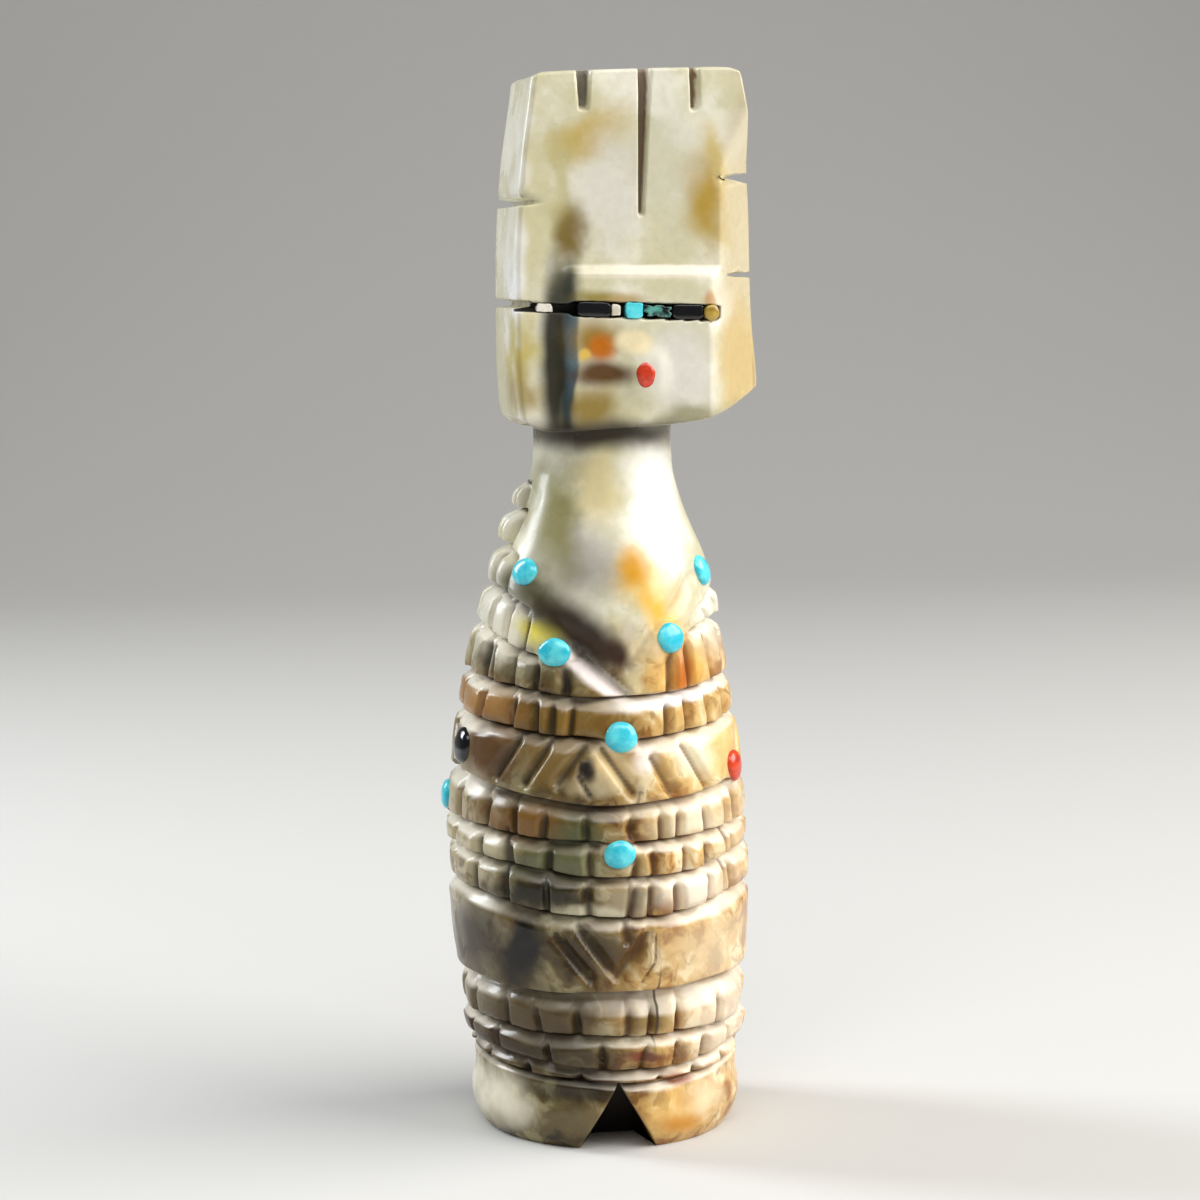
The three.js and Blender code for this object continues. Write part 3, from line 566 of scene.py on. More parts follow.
def head_surface():
    """The head as a grid of rows up it and columns round it: left side, front, right side and
    back. Rows bend to the slanting chin and crown, then turn in over both to a flat cap."""
    slots = [(head_x(s), 0.75, 2.5) for s in (-0.228, 0.009, 0.217)]
    rises = [(head_x(-0.3), 0.9, 1.2), (head_x(0.33), 0.8, 1), (head_x(0.012), 1.6, 0.8)]
    wide, side = 104, 11
    across = spread(0, 1, wide, [
        ((x - head_x(-0.5)) / HEAD_WIDE, w / HEAD_WIDE, g)
        for x, w, g in slots + rises + [(head_x(-0.49), 0.5, 2.5), (head_x(0.48), 0.6, 2)]
    ])
    saws = [(0.63, 0.45, 5), (0.344, 0.9, 5), (0.7, 0.35, 5), (0.426, 0.3, 5), (0.3, 0.8, 2)]
    edges = [(0.44, 0.5, 2), (0, 0.6, 3), (1, 0.6, 3), (0.89, 0.4, 2), (0.594, 0.35, 2)]
    up = spread(0, 1, 114, [(s, w / HEAD_TALL, g) for s, w, g in saws + edges])[:, None]
    left = np.linspace(1, 0, side + 1, endpoint=False)[1:]
    right = np.linspace(0, 1, side + 1, endpoint=False)[1:]
    share = np.concatenate([np.zeros(side), across, np.ones(side), across[::-1]])
    depth = np.concatenate([left, np.zeros(wide), right, np.ones(wide)])
    front = np.repeat([False, True, False, False], [side, wide, side, wide])
    chin = follow([
        (0, 0.022), (0.03, 0.004), (0.1, -0.008), (0.4, 0.002), (0.66, 0.016), (0.83, 0.042),
        (0.97, 0.088), (1, 0.105),
    ], share)
    crown = follow([
        (0, 0.972), (0.04, 0.981), (0.35, 0.991), (0.7, 0.999), (0.95, 1.002), (1, 0.994),
    ], share)
    height = head_z(chin * (1 - up) + crown * up)
    left_edge, left_cut = side_line(-1, height)
    right_edge, right_cut = side_line(1, height)
    x = left_edge + (right_edge - left_edge) * share
    left_edge, right_edge = left_edge + left_cut, right_edge - right_cut
    x = np.where(x < left_edge, left_edge + (x - left_edge) * 0.02, x)
    x = np.where(x > right_edge, right_edge + (x - right_edge) * 0.02, x)
    relief = head_relief(x, height)
    front_y = HEAD_FRONT - relief + 0.25 * (1 - ramp(x - left_edge, 0, 0.4)) ** 2
    left_corner = HEAD_FRONT - head_relief(left_edge, height) + 0.25
    right_corner = HEAD_FRONT - head_relief(right_edge, height)
    start = np.where(share < 0.5, left_corner, right_corner)
    side_y = start + (HEAD_BACK - 0.5 - start) * depth
    round_back = 0.5 * (1 - ramp(np.minimum(x - left_edge, right_edge - x), 0, 0.6)) ** 2
    y = np.where(front, front_y, np.where(depth >= 1, HEAD_BACK - round_back, side_y))
    place = np.stack([x, y, height], -1)
    y = y + 0.03 * ripple(place, 7, 11) + 0.012 * ripple(place, 2, 12)
    x = x + 0.04 * ripple(place, 8, 13) * np.abs(2 * share - 1) ** 6
    place = np.stack([x, y, height], -1)

    # Darkening in the grooves, grime with painted shade, and in the eye cut, dark glue with
    # painted shade, and a painted highlight along the brow over the face, where its top edge
    # catches the light
    flat = facet_free(x, height) * front
    pit = np.clip((-0.2 - relief) / 0.7, 0, 0.85) * flat
    pit = np.maximum(pit, 1.8 * eye_slot(x, height) * front)
    brow = ramp(height, head_z(0.4), head_z(0.43)) - ramp(height, head_z(0.452), head_z(0.46))
    brow *= ramp(x, head_x(-0.29), head_x(-0.25)) * flat
    pit = np.stack([pit, 0.8 * brow], -1)

    # Rounding over the chin and the crown: two more rows, drawn in from all sides
    centre = np.array([HEAD_MIDDLE, (HEAD_FRONT + HEAD_BACK) / 2, 0])
    rows, extra = [], []
    for edge, sign in ((place[0], -1), (place[-1], 1)):
        for inset, lift in ((0.1, 0.1), (0.32, 0.17), (0.6, 0.19)):
            out = edge - centre
            pull = np.array([
                inset * np.clip(np.abs(out[:, 0]) / 8.5, 0, 1) ** 8,
                inset * np.ones(len(out)),
                np.zeros(len(out)),
            ]).T
            ring = edge - np.sign(out) * pull * (1, 1, 0)
            ring[:, 2] = edge[:, 2] + sign * lift
            rows.append(ring)
            extra.append(pit[0] if sign < 0 else pit[-1])
    full = np.concatenate([np.array(rows[2::-1]), place, np.array(rows[3:])])
    amount = np.concatenate([np.array(extra[2::-1]), pit, np.array(extra[3:])])
    return full, amount


def facet_edge(z):
    """Where the facet at the head's right begins; it is narrower towards the crown."""
    return head_x(0.5) - 3.1 + 2.4 * ramp(z, head_z(0.7), head_z(0.95))


def facet_free(x, z):
    """1 over the flat front and 0 on the facet at its right."""
    return 1 - ramp(x, facet_edge(z) - 0.2, facet_edge(z) + 0.2)


def stone_mesh():
    """One mesh of both surfaces: the body's grid closed at the foot and inside the head, and
    the head's grid closed over the crown and under the chin by flat caps. The second result is
    how many of its faces are the body's; they come first."""
    body, body_cut = body_surface()
    points, amount, faces = capped(
        body, body_cut, np.array([0.4, 0, 0]), np.array([0.15, 0, NECK_TOP * BODY_TALL])
    )
    head, head_cut = head_surface()
    rows, count = head.shape[:2]
    offset, body_faces = len(points), len(faces)
    faces += grid_faces(rows, count, offset)
    faces.append(tuple(range(offset + count - 1, offset - 1, -1)))
    last = offset + (rows - 1) * count
    faces.append(tuple(range(last, last + count)))
    points = np.concatenate([points, head.reshape(-1, 3)])
    amount = np.concatenate([amount, head_cut.reshape(-1, 2)])
    mesh = bpy.data.meshes.new("carved_stone")
    mesh.from_pydata((points * 0.001).tolist(), [], faces)
    mesh.shade_smooth()
    for name, values in zip(("groove", "worn"), np.clip(amount, 0, 2).T):
        layer = mesh.attributes.new(name, "FLOAT", "POINT")
        layer.data.foreach_set("value", values.astype(np.float32))
    mesh.update()
    return mesh, body_faces


def linear(red, green, blue):
    """A colour given in display values from 0 to 255, as the shader's linear values."""
    c = np.array([red, green, blue]) / 255
    value = np.where(c <= 0.04045, c / 12.92, ((c + 0.055) / 1.055) ** 2.4)
    return (*[float(v) for v in value], 1.0)


def new_material(name):
    """An empty node material with its output and one glossy shader."""
    material = bpy.data.materials.new(name)
    material.use_nodes = True
    tree = material.node_tree
    tree.nodes.clear()
    output = tree.nodes.new("ShaderNodeOutputMaterial")
    shader = tree.nodes.new("ShaderNodeBsdfPrincipled")
    tree.links.new(shader.outputs["BSDF"], output.inputs["Surface"])
    return material, tree, shader


def node(tree, kind, values=(), **settings):
    """A node with its settings, and its inputs set from constants or other nodes' outputs."""
    made = tree.nodes.new(kind)
    for key, value in settings.items():
        setattr(made, key, value)
    for key, value in dict(values).items():
        if isinstance(value, bpy.types.NodeSocket):
            tree.links.new(value, made.inputs[key])
        else:
            made.inputs[key].default_value = value
    return made


def blend_colour(tree, factor, first, second, mode="MIX"):
    """Mixes two colours by a factor; colours may be constants or outputs."""
    mix = node(
        tree, "ShaderNodeMix", {0: factor, 6: first, 7: second},
        data_type="RGBA", blend_type=mode, clamp_factor=True,
    )
    return mix.outputs[2]


def smooth_range(tree, value, low, high, first=0.0, last=1.0):
    """Maps a value's range smoothly onto another."""
    values = {0: value, 1: low, 2: high, 3: first, 4: last}
    made = node(tree, "ShaderNodeMapRange", values, interpolation_type="SMOOTHSTEP")
    return made.outputs[0]


def sum_or_product(tree, kind, first, second, clamp=False):
    """ADD or MULTIPLY for two values, held between 0 and 1 if clamp is set."""
    made = node(tree, "ShaderNodeMath", {0: first, 1: second}, operation=kind, use_clamp=clamp)
    return made.outputs[0]


def vector_step(tree, kind, values):
    """The first output of one step of vector arithmetic."""
    return node(tree, "ShaderNodeVectorMath", values, operation=kind).outputs[0]


def noise(tree, place, scale, detail, roughness, distortion=0.0):
    """Outputs of a noise texture over a place in millimetres."""
    values = {"Vector": place, "Scale": scale, "Detail": detail, "Roughness": roughness}
    return node(tree, "ShaderNodeTexNoise", {**values, "Distortion": distortion}).outputs


# Veins and patches of stain in the stone that show in the photograph, and some painted highlights
# and painted shade, in millimetres from the front:
# (across, up), (half width, half height), tilt in degrees, colour, strength, softness
VEINS_AND_PAINTED_LIGHT = [
    # Painted highlight: the head's left side and edge, lit by the left lamp.
    ((-7.4, 64), (0.9, 13), 3, (252, 252, 254), 0.95, 0.5),
    ((9.6, 66), (1.7, 9), 0, (198, 184, 150), 0.9, 0.6),
    ((9.6, 55), (1.9, 5), 0, (202, 176, 122), 0.9, 0.6),
    ((-1.7, 71.8), (2.4, 1.4), -35, (186, 156, 48), 0.9, 0.8),
    ((6.5, 67.6), (1.4, 3.0), -14, (176, 142, 44), 0.95, 0.8),
    ((7.2, 70.4), (0.8, 2), -20, (194, 168, 76), 0.7, 0.8),
    ((-3.1, 65.2), (0.95, 2.2), 0, (116, 94, 36), 0.95, 0.7),
    ((-3.9, 68.4), (0.9, 2.8), 5, (182, 172, 114), 0.7, 0.8),
    ((-6.2, 67), (1.2, 6), 0, (204, 196, 154), 0.7, 0.8),
    ((-0.2, 68.3), (2.1, 4), 0, (214, 210, 198), 0.8, 0.7),
    ((4.0, 70), (1.7, 4.5), 0, (208, 206, 186), 0.6, 0.7),
    ((4.6, 55.2), (2.3, 3.4), 0, (222, 218, 208), 0.9, 0.6),
    # Painted shade on the underside of the chin, at its right.
    ((5.6, 51.8), (3.6, 0.9), -8, (152, 146, 112), 0.85, 0.8),
    ((-6.7, 56.2), (0.9, 2.6), 12, (190, 172, 84), 0.85, 0.8),
    ((-6.3, 53.6), (0.9, 1.4), -20, (160, 138, 76), 0.8, 0.8),
    ((-1.6, 52.9), (1.8, 1.5), 0, (142, 118, 50), 0.95, 0.8),
    ((1.0, 41.4), (1.7, 1.9), 25, (228, 182, 66), 0.9, 0.8),
    ((2.6, 38.8), (1.2, 2.4), -25, (240, 186, 66), 0.95, 0.8),
    ((-2.8, 42.0), (2.6, 2.4), 0, (158, 152, 142), 0.95, 0.8),
    ((-4.2, 45.0), (1.5, 3.8), 0, (138, 132, 84), 0.95, 0.7),
    ((-1.4, 47.2), (1.3, 2.4), 0, (216, 200, 146), 0.8, 0.7),
    # Painted highlight widening the key lamp's gloss on the right of the neck.
    ((3.2, 46.6), (2.2, 4.8), 0, (255, 253, 248), 0.85, 0.7),
    ((-6.0, 39.8), (1.7, 1.0), 20, (114, 114, 76), 0.95, 0.8),
    ((-5.8, 37.1), (1.2, 1.0), 30, (240, 226, 100), 0.95, 0.7),
    ((-8.0, 36.3), (1.2, 1.1), 0, (236, 230, 208), 0.9, 0.7),
    ((4.6, 34.6), (1.9, 1.9), 0, (230, 178, 84), 0.9, 0.8),
    ((0.8, 33.9), (0.9, 1.1), 0, (246, 228, 176), 0.9, 0.7),
    ((-9.3, 31.6), (2.2, 2.0), 0, (164, 118, 64), 0.9, 0.7),
    ((-4.0, 31.2), (2.8, 1.5), 0, (136, 104, 44), 0.9, 0.8),
    ((-8.9, 28.5), (2.0, 2.2), 0, (88, 58, 28), 0.95, 0.7),
    ((-5.0, 28.3), (2.0, 1.8), 0, (132, 106, 58), 0.9, 0.8),
    ((-1.2, 28.0), (1.6, 1.4), 0, (228, 202, 150), 0.92, 0.7),
    ((-2.8, 26.6), (1.3, 0.8), 0, (186, 170, 134), 0.9, 0.7),
    ((7.0, 28.6), (4, 2.2), 0, (232, 202, 136), 0.8, 0.8),
    ((-7.0, 23.9), (3.2, 1.4), 0, (122, 86, 36), 0.95, 0.7),
    ((-3.6, 23.4), (1.6, 1.2), 0, (78, 86, 50), 0.9, 0.7),
    ((2.4, 23.6), (1.8, 1.3), 0, (206, 186, 146), 0.85, 0.7),
    ((5.2, 23.9), (2.0, 1.0), 0, (244, 230, 202), 0.85, 0.7),
    ((-9.8, 21.4), (1.4, 1.3), 0, (206, 194, 160), 0.9, 0.7),
    ((-5.4, 21.0), (3.6, 1.2), 0, (102, 104, 72), 0.92, 0.7),
    ((-6.2, 18.6), (3.2, 1.1), 0, (34, 30, 18), 0.96, 0.7),
    ((0.2, 18.6), (2.0, 1.1), 0, (172, 162, 134), 0.85, 0.7),
    ((4.8, 18.8), (3.0, 1.4), 0, (244, 232, 212), 0.9, 0.7),
    ((8.6, 22), (2, 3), 0, (222, 196, 156), 0.75, 0.8),
    ((-2.2, 17.4), (2.6, 0.55), 0, (214, 206, 176), 0.9, 0.6),
    ((-7.2, 14.4), (1.6, 2.6), 0, (8, 7, 6), 0.97, 0.5),
    ((-10.0, 14.4), (1.5, 3.0), 0, (46, 34, 18), 0.93, 0.7),
    ((-2.2, 15.0), (2.8, 1.7), 0, (70, 57, 33), 0.93, 0.8),
    ((6.6, 14.5), (3.2, 2.3), 0, (226, 206, 170), 0.65, 0.8),
    ((-6.4, 9.4), (5.2, 2.6), 0, (84, 68, 42), 0.93, 0.7),
    ((-5.4, 7.0), (5.0, 1.1), 0, (54, 38, 10), 0.93, 0.8),
    ((-9.2, 7.2), (1.8, 1.0), 0, (58, 38, 6), 0.93, 0.7),
    ((1.6, 9.6), (1.3, 1.1), 0, (122, 100, 58), 0.9, 0.7),
    ((7.5, 8.5), (3, 3), 0, (236, 222, 200), 0.75, 0.8),
    # Painted shade under the ring over the foot.
    ((-2.6, 4.6), (3.4, 1.1), 0, (44, 36, 20), 0.93, 0.8),
    ((-3.4, 2.2), (2.4, 1.1), 0, (112, 98, 64), 0.85, 0.8),
    ((-8.4, 2.8), (1.9, 1.8), 0, (240, 232, 208), 0.92, 0.7),
    ((4.2, 2.2), (2.2, 1.5), 5, (230, 188, 112), 0.95, 0.8),
    ((6.0, 3.1), (1.3, 1.5), 0, (238, 216, 176), 0.8, 0.7),
]

# Smaller marks with steadier edges, in the same terms: the blue grey strip down the face, a
# painted bluish reflection, with its dark side, painted shade on the raised face's left side over
# a dark vein, patches round the mouth, a painted shadow under the chin, the dark band under the
# neckline, a brown vein with painted shade, painted highlights on the lapel and a ledge, and a
# fine crack
MARKS = [
    # Painted shade and a painted bluish reflection on the left side of the raised face, over a
    # dark vein.
    ((-4.2, 56.2), (1.0, 6.4), 0, (30, 29, 17), 0.96, 0.5),
    ((-3.3, 56.2), (0.42, 6.1), 0, (52, 68, 72), 0.93, 0.4),
    ((-3.2, 57.2), (0.4, 2.6), 0, (96, 124, 138), 0.92, 0.7),
    ((-3.4, 61.2), (0.8, 1.5), 6, (60, 62, 50), 0.85, 0.8),
    ((-1.4, 60.5), (1.5, 0.5), 0, (142, 124, 44), 0.9, 0.7),
    ((0.5, 60.3), (1.3, 0.45), 0, (178, 148, 90), 0.8, 0.7),
    ((6.9, 60.2), (0.42, 0.75), 0, (198, 158, 112), 0.9, 0.5),
    ((-1.6, 57.5), (1.7, 1.5), 0, (146, 116, 34), 0.95, 0.7),
    ((-1.1, 56.9), (0.9, 1.0), 20, (188, 104, 10), 0.96, 0.6),
    ((-2.3, 56.4), (0.42, 0.42), 0, (222, 186, 84), 0.9, 0.5),
    ((1.3, 57.4), (1.3, 0.85), 0, (238, 222, 180), 0.95, 0.45),
    ((-1.0, 55.1), (2.3, 0.75), 2, (86, 54, 10), 0.97, 0.6),
    ((0.8, 41.6), (0.95, 1.2), 20, (206, 146, 2), 0.97, 0.7),
    # Painted shadow under the chin, across the top of the neck.
    ((-1.0, 50.8), (6.5, 1.0), 0, (38, 25, 13), 0.94, 0.7),
    # The dark band under the neckline: a brown vein with painted shade from the groove.
    ((-3.2, 37.1), (4.6, 1.4), 39, (38, 20, 6), 0.97, 0.6),
    ((-0.6, 35.7), (1.1, 0.7), 39, (50, 26, 10), 0.95, 0.6),
    ((4.3, 34.2), (0.7, 1.5), 0, (190, 96, 18), 0.92, 0.7),
    # Painted highlights: the lapel bevel and the ledge to its right, where they catch the light.
    ((-2.2, 34.0), (3.0, 0.6), 38, (255, 242, 236), 0.97, 0.5),
    ((3.3, 32.35), (3.8, 0.5), -7, (255, 250, 244), 0.96, 0.5),
    ((1.2, 28.2), (0.8, 0.9), 30, (252, 240, 226), 0.9, 0.7),
    ((4.9, 28.2), (1.6, 1.1), 30, (252, 242, 212), 0.92, 0.7),
    ((-2.9, 27.7), (0.55, 0.7), 0, (52, 42, 40), 0.95, 0.5),
    ((1.2, 6.8), (1.3, 0.42), 4, (122, 58, 36), 0.9, 0.4),
    ((3.9, 4.8), (1.3, 0.5), 6, (142, 80, 40), 0.95, 0.4),
    ((4.2, 1.6), (1.5, 0.7), 5, (210, 140, 36), 0.85, 0.8),
    ((2.1, 10.5), (0.11, 2.8), 2, (70, 54, 38), 0.85, 0.5),
]


def ground_colour(tree, clouds, bent, across, up):
    """Cream head and chest, gold and tan body on the right, olive brown on the left with a
    paler edge, each in three shades, and brown threads, strongest in the body. The olive brown is
    partly painted shade where the front-left lies out of the lamps, and the paler edge partly a
    painted highlight from the left lamp."""
    patches = noise(tree, bent, 0.42, 3.0, 0.55, 0.4)["Fac"]
    head = blend_colour(
        tree, smooth_range(tree, clouds, 0.4, 0.6), linear(206, 200, 166), linear(230, 226, 208)
    )
    low, high = smooth_range(tree, patches, 0.36, 0.5), smooth_range(tree, patches, 0.5, 0.64)
    warm = blend_colour(tree, low, linear(158, 104, 44), linear(208, 168, 102))
    warm = blend_colour(tree, high, warm, linear(238, 216, 172))
    dull = blend_colour(tree, low, linear(44, 34, 19), linear(98, 84, 48))
    dull = blend_colour(tree, high, dull, linear(158, 148, 108))
    # Darker olive on the left: partly the stone, partly painted shade.
    body = blend_colour(tree, smooth_range(tree, across, -4.5, 3.5), dull, warm)
    pale = blend_colour(tree, low, linear(104, 84, 50), linear(180, 168, 136))
    # Paler left edge: partly the stone, partly a painted highlight.
    body = blend_colour(tree, smooth_range(tree, across, -10.4, -7.4), pale, body)
    colour = blend_colour(tree, smooth_range(tree, up, 33.0, 39.0), body, head)
    threads = noise(tree, bent, 0.55, 3.0, 0.5, 1.6)["Fac"]
    thin = smooth_range(tree, threads, 0.56, 0.64)
    fading = smooth_range(tree, up, 34.0, 40.0, 0.5, 0.06)
    thread = sum_or_product(tree, "MULTIPLY", thin, fading)
    return blend_colour(tree, thread, colour, linear(112, 78, 36))


def highlit_ledges(tree, across, up):
    """How strongly the ledges are painted pale, as a highlight where they catch the light: most on
    the right, where the key lamp falls, and at the left edge of the body, lit from the left, less
    in the dull stone between, and more on the upper rows."""
    worn = node(tree, "ShaderNodeAttribute", attribute_name="worn").outputs["Fac"]
    right = smooth_range(tree, across, -3.5, 2.0, 0.14, 0.66)
    left = smooth_range(tree, across, -10.2, -7.8, 0.8, 0.0)
    side = sum_or_product(tree, "ADD", right, left)
    upper = smooth_range(tree, up, 28.0, 36.0, 0.0, 0.3)
    side = sum_or_product(tree, "ADD", side, upper, clamp=True)
    return sum_or_product(tree, "MULTIPLY", smooth_range(tree, worn, 0.1, 1.0), side)


def lay_stains_and_light(tree, colour, stain_and_light_rows, place, near):
    """Lays ellipses over a colour, one after another. Seen from the front each is an ellipse
    with a soft edge; it runs back into the stone as far as near lets it."""
    plain = colour
    for (x, z), (wide, tall), tilt, shade, strength, soft in stain_and_light_rows:
        shape = {
            "Vector": place,
            "Location": (x, 0.0, z),
            "Rotation": (0.0, float(np.radians(tilt)), 0.0),
            "Scale": (wide, 60.0, tall),
        }
        local = node(tree, "ShaderNodeMapping", shape, vector_type="TEXTURE").outputs[0]
        far = node(tree, "ShaderNodeVectorMath", {0: local}, operation="LENGTH").outputs["Value"]
        mask = smooth_range(tree, far, 1.0 - soft, 1.0 + soft, strength, 0.0)
        colour = blend_colour(tree, mask, colour, linear(*shade))
    return blend_colour(tree, near, plain, colour)


def stone_material(name, low_z, high_z, behind):
    """Cream stone, warmer and darker down the body, clouded by noise. The ellipses of both tables,
    colour marks of the stone together with painted highlights and painted shade, with their middle
    between the two heights are drawn, their edges bent by noise, and they fade past the depth
    called behind. Cuts are darkened brown with grime and painted shade, and are duller, and the
    polish varies."""
    material, tree, shader = new_material(name)
    coordinates = node(tree, "ShaderNodeTexCoord").outputs["Object"]
    place = vector_step(tree, "SCALE", {0: coordinates, "Scale": 1000.0})
    clouds = noise(tree, place, 0.16, 4.0, 0.55)["Fac"]
    wander = noise(tree, place, 0.4, 2.0, 0.4)["Color"]
    shift = vector_step(tree, "SUBTRACT", {0: wander, 1: (0.5, 0.5, 0.5)})
    bent, slight = [
        vector_step(tree, "MULTIPLY_ADD", {0: shift, 1: (reach, reach, reach), 2: place})
        for reach in (2.6, 0.8)
    ]
    axes = node(tree, "ShaderNodeSeparateXYZ", {0: bent}).outputs
    across, up = axes["X"], axes["Z"]
    colour = ground_colour(tree, clouds, bent, across, up)

    # The first table, then the painted highlight on the ledges, then the marks
    ledge_highlight = highlit_ledges(tree, across, up)
    near = smooth_range(tree, axes["Y"], behind, behind + 2.5, 1.0, 0.0)
    vein_and_light_rows, marks = [
        [row for row in table if low_z < row[0][1] < high_z] for table in (VEINS_AND_PAINTED_LIGHT, MARKS)
    ]
    colour = lay_stains_and_light(tree, colour, vein_and_light_rows, bent, near)
    # The pale colour of the ledges is a painted highlight.
    colour = blend_colour(tree, ledge_highlight, colour, linear(246, 238, 220))
    colour = lay_stains_and_light(tree, colour, marks, slight, near)

    # Cuts are darkened with grime and painted shade, reddish on the right and near black where
    # deepest: painted deep shade in the foot's notch, dark glue with painted shade in the eye cut
    grain = noise(tree, place, 1.6, 3.0, 0.5)["Fac"]
    speckle = smooth_range(tree, grain, 0.35, 0.65, 0.97, 1.02)
    colour = blend_colour(tree, 1.0, colour, speckle, "MULTIPLY")
    groove = node(tree, "ShaderNodeAttribute", attribute_name="groove").outputs["Fac"]
    # The colour of grime and painted shade in the cuts.
    soil = blend_colour(
        tree, smooth_range(tree, across, -4.0, 4.0), linear(34, 27, 18), linear(104, 62, 26)
    )
    colour = blend_colour(tree, smooth_range(tree, groove, 0.3, 0.95, 0.0, 0.85), colour, soil)
    deepest = smooth_range(tree, groove, 1.0, 1.7, 0.0, 0.97)
    colour = blend_colour(tree, deepest, colour, linear(16, 12, 12))
    polish = smooth_range(tree, clouds, 0.3, 0.7, 0.24, 0.31)
    dusty = smooth_range(tree, groove, 0.1, 0.8, 0.0, 0.35)
    bump = node(tree, "ShaderNodeBump", {"Height": grain, "Strength": 0.02, "Distance": 0.0002})
    tree.links.new(colour, shader.inputs["Base Color"])
    tree.links.new(sum_or_product(tree, "ADD", polish, dusty), shader.inputs["Roughness"])
    tree.links.new(bump.outputs["Normal"], shader.inputs["Normal"])
    shader.inputs["Specular IOR Level"].default_value = 0.34
    shader.inputs["Subsurface Weight"].default_value = 0.08
    shader.inputs["Subsurface Radius"].default_value = (1.0, 0.75, 0.5)
    shader.inputs["Subsurface Scale"].default_value = 0.0008
    shader.inputs["Coat Weight"].default_value = 0.14
    shader.inputs["Coat Roughness"].default_value = 0.1
    return material


surface, body_faces = stone_mesh()
stone = bpy.data.objects.new("carved_stone_look", surface)
bpy.context.scene.collection.objects.link(stone)
stone.data.materials.append(stone_material("polished banded stone, body", -1, 52, 3.0))
stone.data.materials.append(stone_material("polished banded stone, head", 50, 80, -1.5))
on_head = np.arange(len(surface.polygons)) >= body_faces
surface.polygons.foreach_set("material_index", on_head.astype(np.int32))
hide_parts("carved_stone")
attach(stone, "root")


# Round inlays: small drilled dots, each a peg glued into its hole with a low polished dome that
# stands a little proud. Turquoise at the neckline and down the front, jet and coral at the
# sides, an oval coral mouth and a gold dot at the right end of the eye cut.


def dome(wide, tall, depth, rise, seed):
    """A peg on +Z: a wall from its foot up to the skin, then a dome that ends in a pole. Its
    outline is an oval, bent slightly by three slow waves round it."""
    rng = np.random.default_rng(seed)
    turn = np.linspace(0, 2 * np.pi, 56, endpoint=False)
    wave = 1 + sum(
        rng.uniform(0.008, 0.022) * np.sin(k * turn + rng.uniform(0, 6.28)) for k in (2, 3, 5)
    )
    arc = np.linspace(0, np.pi / 2, 15)[:-1]
    across = np.concatenate([[0.5, 1, 1], np.cos(arc) ** 0.8])
    up = np.concatenate([[-depth, -depth, -depth * 0.4], rise * np.sin(arc)])
    x = across[:, None] * np.cos(turn) * wave * wide
    y = across[:, None] * np.sin(turn) * wave * tall
    z = np.broadcast_to(up[:, None], x.shape)
    return closed(np.stack([x, y, z], -1), (0, 0, -depth), (0, 0, rise))


def seated(points, at, out):
    """Moves points from +Z onto a seat: the +Z direction turns to out, +Y stays upward."""
    out = np.array(out, float) / np.linalg.norm(out)
    right = np.cross((0, 0, 1), out)
    right /= np.linalg.norm(right)
    frame_axes = np.stack([right, np.cross(out, right), out])
    return points @ frame_axes + at


def inlay_material(name, base, dark, roughness, size, seed):
    """Polished inlay: two shades of one colour in soft clouds, with a clear gloss."""
    material, tree, shader = new_material(name)
    coordinates = node(tree, "ShaderNodeTexCoord").outputs["Object"]
    moved = {0: coordinates, 1: (1000.0, 1000.0, 1000.0), 2: (seed * 7.3, seed * 3.1, 0.0)}
    place = vector_step(tree, "MULTIPLY_ADD", moved)
    cloud = noise(tree, place, size, 4.0, 0.6)["Fac"]
    colour = blend_colour(
        tree, smooth_range(tree, cloud, 0.35, 0.65), linear(*dark), linear(*base)
    )
    tree.links.new(colour, shader.inputs["Base Color"])
    shader.inputs["Roughness"].default_value = roughness
    shader.inputs["Coat Weight"].default_value = 0.4
    shader.inputs["Coat Roughness"].default_value = 0.08
    return material


LOOKS = {
    "turquoise": inlay_material("turquoise", (102, 228, 236), (38, 188, 212), 0.24, 0.7, 1),
    "coral": inlay_material("red coral", (222, 70, 26), (178, 40, 18), 0.28, 1.2, 2),
    "jet": inlay_material("jet", (14, 13, 18), (8, 7, 10), 0.14, 1, 3),
    "chips": inlay_material("jet with turquoise chips", (96, 172, 158), (13, 13, 14), 0.2, 1.5, 6),
    "shell": inlay_material("white shell", (238, 234, 222), (206, 198, 178), 0.26, 1.1, 4),
    "gold_shell": inlay_material("gold shell", (196, 166, 70), (150, 118, 40), 0.3, 1.6, 5),
}


def add_inlay(name, slot, points, faces):
    """Makes an inlay's object from millimetre points, gives it its look, hides the CAD part of the
    same name and attaches the object to the root body.
    """
    mesh = bpy.data.meshes.new(name)
    mesh.from_pydata((np.asarray(points) * 0.001).tolist(), [], faces)
    mesh.shade_smooth()
    mesh.update()
    made = bpy.data.objects.new(name + "_look", mesh)
    bpy.context.scene.collection.objects.link(made)
    made.data.materials.append(LOOKS["chips" if name == "jet_bridge" else slot])
    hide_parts(name)
    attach(made, "root")


